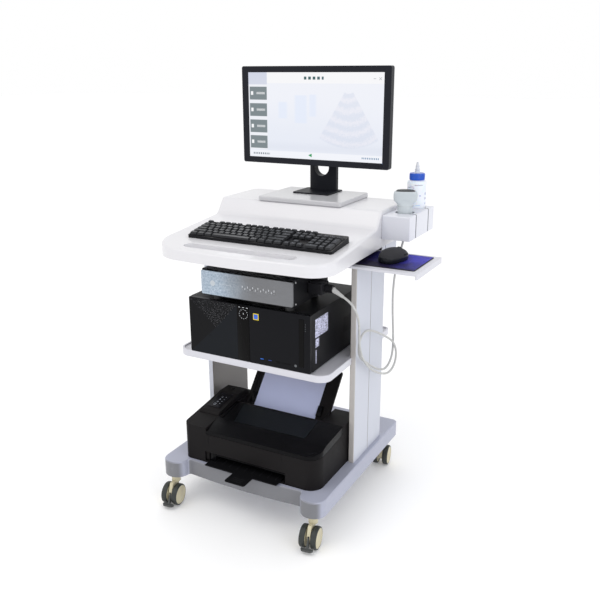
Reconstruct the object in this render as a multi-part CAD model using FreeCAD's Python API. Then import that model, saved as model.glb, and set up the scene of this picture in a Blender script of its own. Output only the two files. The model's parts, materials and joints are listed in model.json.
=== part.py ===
import FreeCAD, Part
import math
import os

# Ultrasound machine on a trolley, in millimetres.  While it is built, X is the viewer's right,
# Y runs to the back and Z up, with x = 0 on the trolley's middle plane and z = 0 on the floor.
# At export every piece moves by one offset, so that the origin is the centre of the footprint.

Vec = FreeCAD.Vector
X_AXIS = Vec(1, 0, 0)
Y_AXIS = Vec(0, 1, 0)
Z_AXIS = Vec(0, 0, 1)

# Clearances
running_gap = 0.3          # between pieces that move past each other
pin_gap = 0.05             # radial, round a pin or a stem
fit_gap = 0.2              # between fixed pieces that slip together

# Casters
caster_height = 91.0
wheel_radius = 31.5
wheel_width = 17.0
wheel_gap = 15.0           # between the twin wheels
tyre_thickness = 5.0
axle_radius = 4.0
stem_radius = 5.0
stem_length = 32.0
fork_plate_radius = 21.0
fork_plate_thickness = 3.0
fork_web_half = 4.8
caster_trail = 18.0        # from stem to axle
caster_turn = 8.0          # degrees, as the trolley stands
caster_x = 227.0
caster_front_y = -235.0
caster_rear_y = 266.0
pedal_reach = 42.0         # from the axle to the pedal's tip
pedal_width = 34.0
pedal_pin_radius = 2.0

# Base
base_half_width = 261.0
base_front_y = -261.5
base_bow_y = -230.0        # middle of the front edge
base_lobe_inner_x = 187.0
base_rear_y = 295.0
base_bottom_z = 91.0
base_height = 47.4
base_wall = 4.0
base_rear_radius = 14.0
base_lobe_radius = 35.5
base_hollow_radius = 9.0   # between a lobe and the bowed front edge
base_bow_radius = 800.0
base_edge = 2.5            # bevel round the deck
frame_drop = 2.0           # underside of the steel frame above the cover's lower edge
rail_width = 44.0
cross_width = 40.0

# Columns
column_inner_x = 230.0
column_thickness = 17.6
column_front_y = -21.0
column_rear_y = 176.0
column_wall = 2.2
groove_width = 4.0
groove_depth = 1.2

# Middle shelf
shelf_half_width = 236.0
shelf_front_y = -181.0
shelf_rear_y = 262.0
shelf_bottom_z = 443.0
shelf_floor_z = 459.0
shelf_rim_z = 463.0
shelf_rim_width = 7.0
shelf_front_radius = 34.0
shelf_rear_radius = 16.0
bracket_thickness = 3.0
bracket_leg = 30.0
bracket_y = (0.0, 155.0)
foot_bracket_y = (62.0, 155.0)
screw_radius = 3.0
screw_head_radius = 5.2
screw_head_height = 3.0
screw_inset = 22.0         # from the ends of a bracket

# Console
console_left_x = (-260.0, -261.0)   # at the front corner and behind the taper
console_right_x = (272.0, 261.0)
console_taper_y = 100.0
console_front_y = -271.0
console_bow = 14.0           # the front edge stands out in the middle
console_bow_radius = 1500.0
console_rear_y = 300.0
console_bottom_z = 748.0   # the console and all that it carries follow this height
console_skirt_drop = 1.0   # the front edge hangs lower
console_lip_rise = 29.0    # top of the front edge
console_foot_y = 74.0      # foot of the step
console_foot_rise = 58.0
console_step_y = 108.0     # top of the step
console_deck_rise = 103.0
console_front_radii = (105.0, 65.0)   # left, right
console_taper_radius = 400.0
console_rear_radius = 30.0
console_wall = 3.5
console_ledge = 2.5
console_cover_thickness = 3.0
console_edge_radius = 7.0
handle_center_x = 6.0
handle_center_y = -222.0
handle_length = 334.0
handle_width = 32.0
support_rear_y = 262.0
support_drop = 36.0
support_half_width = 249.0
support_wall = 3.0

# Monitor and stand
platform_x = (-131.0, 138.0)
platform_y = (102.0, 303.0)
platform_height = 13.6
monitor_width = 478.0
monitor_height = 281.0
monitor_rise = 238.0       # from the console's deck to the monitor's middle
monitor_front_y = 203.0
bezel_depth = 17.0
bezel_side = 20.5
bezel_top = 17.5
bezel_corner = 6.0
panel_thickness = 6.0
panel_recess = 2.5
back_depth = 28.0
back_inset = 7.0
vesa_spacing = 100.0
vesa_hole_radius = 2.0
vesa_depth = 8.0
head_size = 68.0
head_thickness = 4.0
hinge_y = 268.0
hinge_pin_radius = 5.0
hinge_barrel_radius = 11.0
neck_half_width = 44.0
neck_front_y = 257.0
neck_rear_y = 286.0
neck_bow = 14.0
neck_slot_half = 20.0
neck_hole_radius = 24.0
neck_hole_rise = 85.0
stand_half_width = 60.0
stand_y = (192.0, 294.0)
stand_thickness = 4.0
stand_center_x = -4.0
monitor_button_radius = 3.2
monitor_button_pitch = 13.0

# Keyboard
keyboard_center_x = 24.0
keyboard_width = 434.0
keyboard_depth = 108.0
keyboard_front_y = -167.0
keyboard_front_height = 7.6   # top of the front edge above the console
keyboard_rear_height = 16.8
key_columns = 22.5         # the whole field of keys, in key units
key_rows = 6.0
key_gap = 2.2
key_height = 6.6
key_lift = 2.8             # underside of a resting key above its plate
key_taper = 2.3
key_margin = 4.0
key_well_depth = 2.0
key_post = 4.0
key_post_length = 5.0

# Mouse tray
tray_inner_x = 130.0
tray_outer_x = 424.0
tray_front_y = -53.0
tray_rear_y = 146.0
tray_drop = 17.0           # below the console's underside
tray_thickness = 6.0
tray_flange = 15.0
tray_travel = 60.0
rail_stop = 30.0           # rail left behind the tray when it is pushed in
rail_outer_x = 226.0
rail_lip = 8.0
rail_thickness = 4.0
pad_x = (241.0, 408.0)
pad_y = (-30.0, 130.0)
pad_thickness = 2.0

# Mouse
mouse_center_x = 322.0
mouse_center_y = 46.0
mouse_length = 100.0
mouse_width = 60.0
mouse_height = 36.0
mouse_split_y = 8.0        # ahead of the mouse's middle
mouse_gap = 0.5
mouse_wheel_radius = 11.0
mouse_wheel_width = 6.0
mouse_yaw = -14.0

# Probe holder, probe and gel bottle
holder_outer_x = 342.0
holder_y = (108.0, 308.0)
holder_rise = 25.0         # above the console's underside
holder_height = 66.0
holder_wall = 3.0
holder_floor = 12.0
holder_corner = 9.0
cup_x = 301.0
probe_cup_y = 178.0
probe_cup_radius = 27.0
bottle_cup_y = 268.0
bottle_cup_radius = 29.0
cable_hole_radius = 9.0
slit_width = 5.0
slit_y = (158.0, 260.0)
probe_handle_radius = 21.0
probe_neck_height = 18.0   # handle above the holder's top
probe_head_width = 66.0
probe_head_height = 46.0
probe_head_depth = 30.0
probe_lens_height = 5.0
probe_yaw = 22.0
bottle_radius = 27.0
bottle_height = 133.0
bottle_shoulder = 4.0
cap_radius = 21.8
cap_height = 19.0
nozzle_height = 31.0
nozzle_radius = 8.0

# Ultrasound engine
engine_x = (-134.5, 146.0)
engine_front_y = -187.0
engine_rear_y = 10.0
engine_z = (639.0, 712.0)
engine_wall = 2.0
faceplate_thickness = 6.0
faceplate_z = (643.0, 708.5)
faceplate_corner = 4.0
plug_y = -94.0
plug_z = (661.0, 690.0)
plug_length = 44.0
plug_depth = 44.0
sleeve_length = 22.0
sleeve_radius = 10.5
relief_length = 32.0
relief_radius = 7.0
relief_droop = 28.0        # degrees below level

# Computer
computer_half_width = 189.0
computer_front_y = -180.0
computer_rear_y = 126.0
computer_z = (463.0, 623.0)
computer_wall = 1.5
computer_front_depth = 12.0
foot_height = 4.0
foot_radius = 11.0
power_x = -11.0
power_z = 598.0
power_radius = 9.5
drive_x = 163.5
drive_width = 14.0
drive_z = (478.0, 610.0)
drive_depth = 60.0

# Printer
printer_x = (-206.0, 227.0)
printer_y = (-213.0, 42.0)
printer_seam_z = 228.0     # seam between body and cover, at the front
printer_seam_slope = 0.07  # the seam rises to the rear
printer_lip_z = 239.0      # top of the cover's front edge
printer_brow_y = -155.0    # the steep front of the cover ends here
printer_brow_z = 256.0
printer_top_z = 270.0      # top of the block beside the cover
printer_corners = (20.0, 40.0)   # left, right
printer_rear_corner = 12.0
printer_wall = 3.0
cover_left_x = -128.0
cover_hinge_y = -52.0
lid_rear_z = 264.0          # top of the cover at its hinge
panel_raise = 11.0
panel_front_y = -146.0
panel_level_y = -36.0
panel_rear_y = 20.0
panel_lip_z = 247.0        # front edge of the block that holds the panel
output_x = (-134.0, 129.0)
output_z = (142.5, 173.0)
output_depth = 150.0
tray_plate_thickness = 3.0
tray_plate_reach = 24.0
tray_plate_inset = 14.0
tray_tab_x = (-24.0, 40.0)
tray_tab_reach = 70.0
support_x = (-122.0, 156.0)
support_thickness = 3.5
support_hinge_y = -13.0
support_hinge_z = 232.0
support_length = 167.0
support_pin_radius = 2.0
support_lean = 41.3        # degrees back from upright
paper_x = (-93.0, 115.0)
paper_length = 196.0
paper_thickness = 1.2
printer_button_radius = 5.0

# Probe cable
cable_radius = 3.1

deck_z = base_bottom_z + base_height
console_skirt_z = console_bottom_z - console_skirt_drop
console_lip_z = console_bottom_z + console_lip_rise
console_foot_z = console_bottom_z + console_foot_rise
console_deck_z = console_bottom_z + console_deck_rise
support_bottom_z = console_bottom_z - support_drop
monitor_center_z = console_deck_z + monitor_rise
neck_hole_z = console_deck_z + neck_hole_rise
tray_top_z = console_bottom_z - tray_drop
holder_z = (console_bottom_z + holder_rise, console_bottom_z + holder_rise + holder_height)
frame_bottom_z = base_bottom_z + frame_drop
column_outer_x = column_inner_x + column_thickness
tray_bottom_z = tray_top_z - tray_thickness
rail_inner_x = tray_inner_x - tray_travel - rail_stop
key_pitch_x = (keyboard_width - 2 * key_margin) / key_columns
key_pitch_y = (keyboard_depth - 2 * key_margin) / key_rows
cover_bottom_z = console_bottom_z
platform_top_z = console_deck_z + platform_height
stand_top_z = platform_top_z + stand_thickness
monitor_back_y = monitor_front_y + bezel_depth
back_face_y = monitor_back_y + back_depth
plug_center_z = (plug_z[0] + plug_z[1]) / 2
surface_slope = (console_foot_z - console_lip_z) / (console_foot_y - console_front_y)
cup_floor_z = holder_z[0] + holder_floor


# ---------------------------------------------------------------- small helpers

def box(x_range, y_range, z_range):
    size = (x_range[1] - x_range[0], y_range[1] - y_range[0], z_range[1] - z_range[0])
    return Part.makeBox(*size, Vec(x_range[0], y_range[0], z_range[0]))


def cylinder(radius, length, start, axis=Z_AXIS):
    return Part.makeCylinder(radius, length, start, axis)


def rounded_edges(points, radii, closed):
    """Straight edges between the points, joined by tangent arcs of the given radii."""
    count = len(points)
    entries = []
    leaves = []
    arcs = []
    for index, point in enumerate(points):
        at_end = not closed and index in (0, count - 1)
        if at_end or radii[index] == 0:
            entries.append(point)
            leaves.append(point)
            arcs.append(None)
            continue
        back = (points[index - 1] - point).normalize()
        ahead = (points[(index + 1) % count] - point).normalize()
        half = back.getAngle(ahead) / 2
        reach = radii[index] / math.tan(half)
        entries.append(point + back * reach)
        leaves.append(point + ahead * reach)
        bisector = (back + ahead).normalize()
        middle = point + bisector * (radii[index] / math.sin(half) - radii[index])
        arcs.append(middle)
    edges = []
    for index in range(count):
        if arcs[index] is not None:
            edges.append(Part.Arc(entries[index], arcs[index], leaves[index]).toShape())
        if index == count - 1 and not closed:
            break
        following = entries[(index + 1) % count]
        if (following - leaves[index]).Length > 1e-6:
            edges.append(Part.LineSegment(leaves[index], following).toShape())
    return edges


def outline(points, radii):
    return Part.Face(Part.Wire(rounded_edges(points, radii, True)))


def plan_face(x_range, y_range, z, front_radius, rear_radius):
    corners = [Vec(x_range[0], y_range[0], z), Vec(x_range[1], y_range[0], z),
               Vec(x_range[1], y_range[1], z), Vec(x_range[0], y_range[1], z)]
    return outline(corners, [front_radius, front_radius, rear_radius, rear_radius])


def plan_block(x_range, y_range, z_range, front_radius, rear_radius):
    face = plan_face(x_range, y_range, z_range[0], front_radius, rear_radius)
    return face.extrude(Z_AXIS * (z_range[1] - z_range[0]))


def front_block(x_range, y_range, z_range, radius):
    """A block whose corners are rounded as seen from the front."""
    corners = [Vec(x_range[0], y_range[0], z_range[0]), Vec(x_range[1], y_range[0], z_range[0]),
               Vec(x_range[1], y_range[0], z_range[1]), Vec(x_range[0], y_range[0], z_range[1])]
    return outline(corners, [radius] * 4).extrude(Y_AXIS * (y_range[1] - y_range[0]))


def side_profile(pairs, radii, half_width):
    """A profile in Y and Z, extruded across the trolley."""
    points = [Vec(-half_width, y, z) for y, z in pairs]
    return outline(points, radii).extrude(X_AXIS * (2 * half_width))


def fillet_at_height(shape, radius, z):
    edges = [edge for edge in shape.Edges
             if all(abs(vertex.Point.z - z) < 1e-4 for vertex in edge.Vertexes)]
    return shape.makeFillet(radius, edges)


def turned(shape, center, axis, degrees):
    copy = shape.copy()
    copy.rotate(center, axis, degrees)
    return copy


def group(solids):
    return Part.makeCompound(solids)


# ---------------------------------------------------------------- base and casters

def base_outline(inset, z):
    side = base_half_width - inset
    front = base_front_y + inset
    lobe = base_lobe_inner_x + inset
    rear = base_rear_y - inset
    bow = base_bow_y + inset
    corner_y = bow + 9.0
    quarter_y = bow + 2.2
    lobe_radius = base_lobe_radius - inset
    left = [Vec(-side, rear, z), Vec(-side, front, z), Vec(-lobe, front, z), Vec(-lobe, corner_y, z),
            Vec(-lobe / 2, quarter_y, z)]
    radii = [base_rear_radius - inset, lobe_radius, lobe_radius, base_hollow_radius + inset, base_bow_radius]
    right = [Vec(-point.x, point.y, z) for point in reversed(left)]
    points = left + [Vec(0, bow, z)] + right
    return outline(points, radii + [base_bow_radius] + radii[::-1])


def base_cover():
    side_height = base_height - base_edge
    outer = base_outline(0, base_bottom_z).extrude(Z_AXIS * side_height)
    rim = [base_outline(inset, z).OuterWire for inset, z in ((0, base_bottom_z + side_height), (base_edge, deck_z))]
    outer = outer.fuse(Part.makeLoft(rim, True, True))
    hollow = base_outline(base_wall, base_bottom_z).extrude(Z_AXIS * (base_height - base_wall))
    return outer.cut(hollow)


def caster_places():
    places = {}
    for side, x in (("left", -caster_x), ("right", caster_x)):
        for end, y in (("front", caster_front_y), ("rear", caster_rear_y)):
            places[end + "_" + side] = Vec(x, y, 0)
    return places


def base_frame():
    z_range = (frame_bottom_z, deck_z - base_wall)
    half_rail = rail_width / 2
    ends = (caster_front_y, caster_rear_y)
    frame = None
    for x in (-caster_x, caster_x):
        rail = box((x - half_rail, x + half_rail), ends, z_range)
        frame = rail if frame is None else frame.fuse(rail)
    for y in (caster_front_y + cross_width + half_rail, caster_rear_y - cross_width - half_rail):
        frame = frame.fuse(box((-caster_x, caster_x), (y - cross_width / 2, y + cross_width / 2), z_range))
    for place in caster_places().values():
        start = Vec(place.x, place.y, frame_bottom_z)
        frame = frame.fuse(cylinder(half_rail, z_range[1] - z_range[0], start))
    for place in caster_places().values():
        start = Vec(place.x, place.y, frame_bottom_z)
        frame = frame.cut(cylinder(stem_radius + pin_gap, z_range[1] - z_range[0], start))
    return frame.removeSplitter()


def caster_parts(place, braked):
    """Fork, wheels and pedal of one caster, trailing towards the front."""
    axle = Vec(place.x, place.y - caster_trail, wheel_radius)
    plate_top = frame_bottom_z - running_gap
    plate_bottom = plate_top - fork_plate_thickness
    half_gap = wheel_gap / 2
    plate = cylinder(fork_plate_radius, fork_plate_thickness, Vec(place.x, place.y, plate_bottom))
    stem = cylinder(stem_radius, stem_length, Vec(place.x, place.y, plate_top))
    neck_bottom = 2 * wheel_radius + 3.0
    neck = cylinder(13.0, plate_bottom - neck_bottom, Vec(place.x, place.y, neck_bottom))
    web_outline = [Vec(0, 12.0, neck_bottom + 4), Vec(0, -caster_trail - 10.0, neck_bottom + 4),
                   Vec(0, -caster_trail - 21.0, 44.0), Vec(0, -caster_trail - 21.0, 25.0),
                   Vec(0, -caster_trail - 6.0, 18.0), Vec(0, -caster_trail + 12.0, 22.0)]
    web_face = outline([place + point - X_AXIS * fork_web_half for point in web_outline],
                       [4.0, 4.0, 5.0, 3.0, 4.0, 6.0])
    web = web_face.extrude(X_AXIS * (2 * fork_web_half))
    bore = cylinder(axle_radius + pin_gap, wheel_gap, axle - X_AXIS * half_gap, X_AXIS)
    fork = plate.fuse(stem).fuse(neck).fuse(web).cut(bore)

    pin_center = axle + Vec(0, -14.0, 4.0)
    pedal = None
    if braked:
        arm_half = fork_web_half - 2.0
        slot = box((place.x - arm_half - running_gap, place.x + arm_half + running_gap),
                   (axle.y - 30.0, axle.y - 7.5), (5.0, 45.0))
        fork = fork.cut(slot)
        fork = fork.fuse(cylinder(pedal_pin_radius, 2 * fork_web_half - 0.4,
                                  pin_center - X_AXIS * (fork_web_half - 0.2), X_AXIS))
        arm_points = [pin_center + Vec(-arm_half, 5.0, 4.0), pin_center + Vec(-arm_half, -6.0, 5.0),
                      axle + Vec(-arm_half, -wheel_radius - 3.0, -15.5),
                      axle + Vec(-arm_half, -wheel_radius + 4.0, -21.0),
                      axle + Vec(-arm_half, -wheel_radius + 8.0, -18.0),
                      pin_center + Vec(-arm_half, 4.0, -5.0)]
        arm = outline(arm_points, [2.0, 4.0, 0, 0, 3.0, 3.0]).extrude(X_AXIS * (2 * arm_half))
        tread = plan_block((axle.x - pedal_width / 2, axle.x + pedal_width / 2),
                           (axle.y - pedal_reach, axle.y - wheel_radius),
                           (axle.z - 21.0, axle.z - 15.5), 8.0, 2.0)
        pedal = arm.fuse(tread)
        pedal = pedal.cut(cylinder(pedal_pin_radius + pin_gap, wheel_gap, pin_center - X_AXIS * half_gap,
                                   X_AXIS))

    solids = [cylinder(axle_radius, 2 * half_gap + 2 * wheel_width - 8.0,
                       axle - X_AXIS * (half_gap + wheel_width - 4.0), X_AXIS)]
    for direction in (-1, 1):
        start = axle + X_AXIS * (direction * half_gap)
        tyre = cylinder(wheel_radius, wheel_width, start, X_AXIS * direction)
        tyre_inside = cylinder(wheel_radius - tyre_thickness, wheel_width, start, X_AXIS * direction)
        rim = tyre.cut(tyre_inside)
        hub = cylinder(wheel_radius - tyre_thickness, wheel_width + 1.0, start, X_AXIS * direction)
        hub = hub.cut(cylinder(axle_radius, wheel_width - 4.0, start, X_AXIS * direction))
        solids += [rim, hub]
    wheels = group(solids)

    shapes = [fork, wheels] + ([pedal] if braked else [])
    return [turned(shape, place, Z_AXIS, caster_turn) for shape in shapes]


# ---------------------------------------------------------------- columns and shelf

def screw_places():
    """Centres of the bracket screws on the columns' inner faces."""
    places = []
    for side in (-1, 1):
        for y_range, z in ((bracket_y, shelf_bottom_z - bracket_leg / 2), (foot_bracket_y, deck_z + bracket_leg / 2)):
            for y in (y_range[0] + screw_inset, y_range[1] - screw_inset):
                places.append((side, Vec(side * column_inner_x, y, z)))
    return places


def screw_hole(side, place, radius, length):
    start = place - X_AXIS * (side * bracket_thickness)
    return cylinder(radius, length, start, X_AXIS * side)


def column(side):
    inner = side * column_inner_x
    outer = side * column_outer_x
    x_range = (min(inner, outer), max(inner, outer))
    y_range = (column_front_y, column_rear_y)
    body = plan_block(x_range, y_range, (deck_z, cover_bottom_z), 3.0, 3.0)
    hollow_x = (x_range[0] + column_wall, x_range[1] - column_wall)
    hollow_y = (y_range[0] + column_wall, y_range[1] - column_wall)
    middle_y = (column_front_y + column_rear_y) / 2
    groove_x = (outer - groove_depth, outer + groove_depth)
    body = body.cut(box(hollow_x, hollow_y, (deck_z, cover_bottom_z)))
    body = body.cut(box(groove_x, (middle_y - groove_width / 2, middle_y + groove_width / 2),
                        (deck_z, cover_bottom_z)))
    if side > 0:
        notch_z = (tray_bottom_z - 3.0, cover_bottom_z)
        body = body.cut(box((inner - 5.0, outer + 5.0), (column_front_y - 1.0, tray_rear_y + 4.0), notch_z))
    for screw_side, place in screw_places():
        if screw_side == side:
            body = body.cut(screw_hole(side, place, screw_radius + pin_gap, 3 * column_wall))
    return body


def middle_shelf():
    def face(inset, z):
        side = shelf_half_width - inset
        neck = column_inner_x - fit_gap - inset
        front = shelf_front_y + inset
        rear = shelf_rear_y - inset
        near = column_front_y - fit_gap - inset
        far = column_rear_y + fit_gap + inset
        right = [Vec(side, front, z), Vec(side, near, z), Vec(neck, near, z),
                 Vec(neck, far, z), Vec(side, far, z), Vec(side, rear, z)]
        left = [Vec(-point.x, point.y, z) for point in reversed(right)]
        radii = [shelf_front_radius - inset, 0, 0, 0, 0, shelf_rear_radius - inset]
        return outline(right + left, radii + radii[::-1])
    shelf = face(0, shelf_bottom_z).extrude(Z_AXIS * (shelf_rim_z - shelf_bottom_z))
    recess = face(shelf_rim_width, shelf_floor_z).extrude(Z_AXIS * (shelf_rim_z - shelf_floor_z))
    return shelf.cut(recess)


def frame_brackets():
    brackets = []
    for side in (-1, 1):
        wall_x = side * column_inner_x
        thin_x = sorted((wall_x, wall_x - side * bracket_thickness))
        wide_x = sorted((wall_x, wall_x - side * bracket_leg))
        under = box(thin_x, bracket_y, (shelf_bottom_z - bracket_leg, shelf_bottom_z))
        under = under.fuse(box(wide_x, bracket_y, (shelf_bottom_z - bracket_thickness, shelf_bottom_z)))
        foot = box(thin_x, foot_bracket_y, (deck_z, deck_z + bracket_leg))
        foot = foot.fuse(box(wide_x, foot_bracket_y, (deck_z, deck_z + bracket_thickness)))
        brackets += [under, foot]
    for side, place in screw_places():
        hole = screw_hole(side, place, screw_radius + pin_gap, 2 * bracket_thickness)
        brackets = [bracket.cut(hole) for bracket in brackets]
    return group([bracket.removeSplitter() for bracket in brackets])


def frame_screws():
    screws = []
    for side, place in screw_places():
        shank_length = bracket_thickness + column_wall + 1.0
        shank = screw_hole(side, place, screw_radius, shank_length)
        head_start = place - X_AXIS * (side * (bracket_thickness + screw_head_height))
        head = cylinder(screw_head_radius, screw_head_height, head_start, X_AXIS * side)
        screws.append(shank.fuse(head))
    return group(screws)


def rear_support():
    y_range = (column_rear_y, support_rear_y)
    x_range = (-support_half_width, support_half_width)
    body = plan_block(x_range, y_range, (support_bottom_z, cover_bottom_z), 0, 6.0)
    inside_x = (x_range[0] + support_wall, x_range[1] - support_wall)
    inside_y = (y_range[0] + support_wall, y_range[1] - support_wall)
    return body.cut(box(inside_x, inside_y, (support_bottom_z, cover_bottom_z - support_wall)))


# ---------------------------------------------------------------- console

def console_plan(inset, z_range):
    """The console's outline seen from above: bowed in front and a little narrower to the rear."""
    front = console_front_y + inset
    rear = console_rear_y - inset
    left = [x + inset for x in console_left_x]
    right = [x - inset for x in console_right_x]
    left_radius, right_radius = (radius - inset for radius in console_front_radii)
    rear_radius = console_rear_radius - inset
    places = [(left[0], front + console_bow), (0, front), (right[0], front + console_bow), (right[1], console_taper_y),
              (right[1], rear), (left[1], rear), (left[1], console_taper_y)]
    radii = [left_radius, console_bow_radius, right_radius, console_taper_radius, rear_radius, rear_radius,
             console_taper_radius]
    face = outline([Vec(x, y, z_range[0]) for x, y in places], radii)
    return face.extrude(Z_AXIS * (z_range[1] - z_range[0]))


def console_form(inset):
    """The console's outer form, or the hollow that lies inside it by the inset."""
    beyond = 5.0               # the profile overshoots the plan, which trims it
    drop = inset * math.sqrt(1 + surface_slope ** 2)
    front = console_front_y - beyond
    rear = console_rear_y + beyond
    step_shift = inset * 0.4
    pairs = [(front, console_skirt_z), (front, console_lip_z - drop - beyond * surface_slope),
             (console_foot_y + step_shift, console_foot_z - drop + step_shift * surface_slope),
             (console_step_y + step_shift, console_deck_z - inset),
             (rear, console_deck_z - inset), (rear, console_bottom_z), (console_foot_y, console_bottom_z)]
    profile = side_profile(pairs, [0, 0, 22.0, 10.0, 0, 0, 0], console_right_x[0] + beyond)
    return profile.common(console_plan(inset, (console_skirt_z - beyond, console_deck_z + beyond)))


def handle_slot(grow, z_range):
    half = handle_width / 2 + grow
    x_range = (handle_center_x - handle_length / 2 - grow, handle_center_x + handle_length / 2 + grow)
    y_range = (handle_center_y - half, handle_center_y + half)
    return plan_block(x_range, y_range, z_range, half - 0.01, half - 0.01)


def console_shell():
    outer = console_form(0)
    edges = [edge for edge in outer.Edges if edge.BoundBox.ZMin > console_lip_z - 12.0
             and not (edge.BoundBox.XLength > console_right_x[1] - console_left_x[1] - 2 * console_rear_radius
                      and edge.BoundBox.YMax < console_step_y + 20 and edge.BoundBox.YMin > console_foot_y - 40)]
    outer = outer.makeFillet(console_edge_radius, edges)
    ledge_z = console_bottom_z + console_cover_thickness
    upper = console_form(console_wall + console_ledge)
    upper = upper.common(box((-300, 300), (-400, 400), (ledge_z, console_deck_z)))
    lower = console_plan(console_wall, (console_skirt_z - 5, ledge_z))
    through = (console_skirt_z - 5, console_deck_z)
    sleeve = handle_slot(console_wall, (cover_bottom_z, console_deck_z)).common(outer)
    shell = outer.cut(upper).cut(lower).fuse(sleeve).cut(handle_slot(0, through))
    return shell.removeSplitter()


def console_cover():
    z_range = (cover_bottom_z, cover_bottom_z + console_cover_thickness)
    plate = console_plan(console_wall + fit_gap, z_range)
    return plate.cut(handle_slot(console_wall + fit_gap, z_range))


def monitor_platform():
    block = plan_block(platform_x, platform_y, (console_deck_z, platform_top_z), 8.0, 8.0)
    return fillet_at_height(block, 3.0, platform_top_z)


# ---------------------------------------------------------------- monitor

def monitor_z():
    return (monitor_center_z - monitor_height / 2, monitor_center_z + monitor_height / 2)


def screen_window(grow):
    x_half = monitor_width / 2 - bezel_side + grow
    z_half = monitor_height / 2 - bezel_top + grow
    return (-x_half, x_half), (monitor_center_z - z_half, monitor_center_z + z_half)


def monitor_button_places():
    """Menu keys in a row under the screen's right side, with the power key last."""
    z = monitor_z()[0] + bezel_top / 2
    last_x = monitor_width / 2 - bezel_side
    return [Vec(last_x - index * monitor_button_pitch, monitor_front_y, z) for index in range(5)]


def monitor_bezel():
    half = monitor_width / 2
    frame = front_block((-half, half), (monitor_front_y, monitor_back_y), monitor_z(), bezel_corner)
    x_window, z_window = screen_window(0)
    x_seat, z_seat = screen_window(3.0)
    seat_y = monitor_front_y + panel_recess
    frame = frame.cut(box(x_window, (monitor_front_y, monitor_back_y), z_window))
    frame = frame.cut(box(x_seat, (seat_y, monitor_back_y), z_seat))
    for place in monitor_button_places():
        frame = frame.cut(cylinder(monitor_button_radius + running_gap, 8.0, place, Y_AXIS))
    return frame


def monitor_panel():
    x_seat, z_seat = screen_window(3.0 - fit_gap)
    seat_y = monitor_front_y + panel_recess
    return box(x_seat, (seat_y, seat_y + panel_thickness), z_seat)


def monitor_back():
    half = monitor_width / 2
    z_low, z_high = monitor_z()
    flange = front_block((-half, half), (monitor_back_y, monitor_back_y + 4.0), monitor_z(), bezel_corner)
    loops = []
    for inset_x, inset_z, y in ((back_inset, back_inset, monitor_back_y + 4.0), (85.0, 62.0, back_face_y)):
        corners = [Vec(-half + inset_x, y, z_low + inset_z), Vec(half - inset_x, y, z_low + inset_z),
                   Vec(half - inset_x, y, z_high - inset_z), Vec(-half + inset_x, y, z_high - inset_z)]
        loops.append(Part.makePolygon(corners + corners[:1]))
    hump = Part.makeLoft(loops, True, True)
    shell = flange.fuse(hump)
    x_seat, z_seat = screen_window(-6.0)
    inner = box(x_seat, (monitor_back_y, monitor_back_y + 2.0), z_seat)
    shell = shell.cut(inner)
    offset = vesa_spacing / 2
    for x in (-offset, offset):
        for z in (-offset, offset):
            start = Vec(x, back_face_y - vesa_depth, monitor_center_z + z)
            shell = shell.cut(cylinder(vesa_hole_radius, vesa_depth, start, Y_AXIS))
    return shell


def hinge_center():
    return Vec(0, hinge_y, monitor_center_z)


def monitor_head():
    half = head_size / 2
    plate = front_block((-half, half), (back_face_y, back_face_y + head_thickness),
                        (monitor_center_z - half, monitor_center_z + half), 6.0)
    knuckle_half = neck_slot_half - running_gap
    arm = box((-knuckle_half, knuckle_half), (back_face_y + head_thickness, hinge_y),
              (monitor_center_z - hinge_barrel_radius, monitor_center_z + hinge_barrel_radius))
    start = hinge_center() - X_AXIS * knuckle_half
    barrel = cylinder(hinge_barrel_radius, 2 * knuckle_half, start, X_AXIS)
    bore = cylinder(hinge_pin_radius + pin_gap, 2 * knuckle_half, start, X_AXIS)
    return plate.fuse(arm).fuse(barrel).cut(bore).removeSplitter()


def stand_neck():
    top_z = monitor_center_z + hinge_barrel_radius + 2.0
    rear_left = Vec(-neck_half_width, neck_rear_y, stand_top_z)
    rear_right = Vec(neck_half_width, neck_rear_y, stand_top_z)
    front_right = Vec(neck_half_width, neck_front_y + neck_bow, stand_top_z)
    front_left = Vec(-neck_half_width, neck_front_y + neck_bow, stand_top_z)
    front_middle = Vec(0, neck_front_y, stand_top_z)
    edges = [Part.LineSegment(rear_left, rear_right).toShape(),
             Part.LineSegment(rear_right, front_right).toShape(),
             Part.Arc(front_right, front_middle, front_left).toShape(),
             Part.LineSegment(front_left, rear_left).toShape()]
    neck = Part.Face(Part.Wire(edges)).extrude(Z_AXIS * (top_z - stand_top_z))
    slot_bottom = monitor_center_z - hinge_barrel_radius - 6.0
    slot = box((-neck_slot_half, neck_slot_half), (neck_front_y - 5, neck_rear_y + 5), (slot_bottom, top_z + 5))
    hole = cylinder(neck_hole_radius, 60.0, Vec(0, neck_front_y - 10, neck_hole_z), Y_AXIS)
    pin = cylinder(hinge_pin_radius, 2 * neck_slot_half + 10.0,
                   hinge_center() - X_AXIS * (neck_slot_half + 5.0), X_AXIS)
    relief_z = monitor_center_z - hinge_barrel_radius - 40.0
    thinning = box((-neck_half_width - 5, neck_half_width + 5), (neck_front_y - 5, neck_front_y + 4.0),
                   (relief_z, top_z + 5))
    return neck.cut(slot).cut(hole).cut(thinning).fuse(pin)


def stand_base():
    x_range = (stand_center_x - stand_half_width, stand_center_x + stand_half_width)
    return plan_block(x_range, stand_y, (platform_top_z, stand_top_z), 6.0, 6.0)


def monitor_button(place):
    return cylinder(monitor_button_radius, 7.0, place - Y_AXIS * 1.0, Y_AXIS)


# ---------------------------------------------------------------- keyboard

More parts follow.
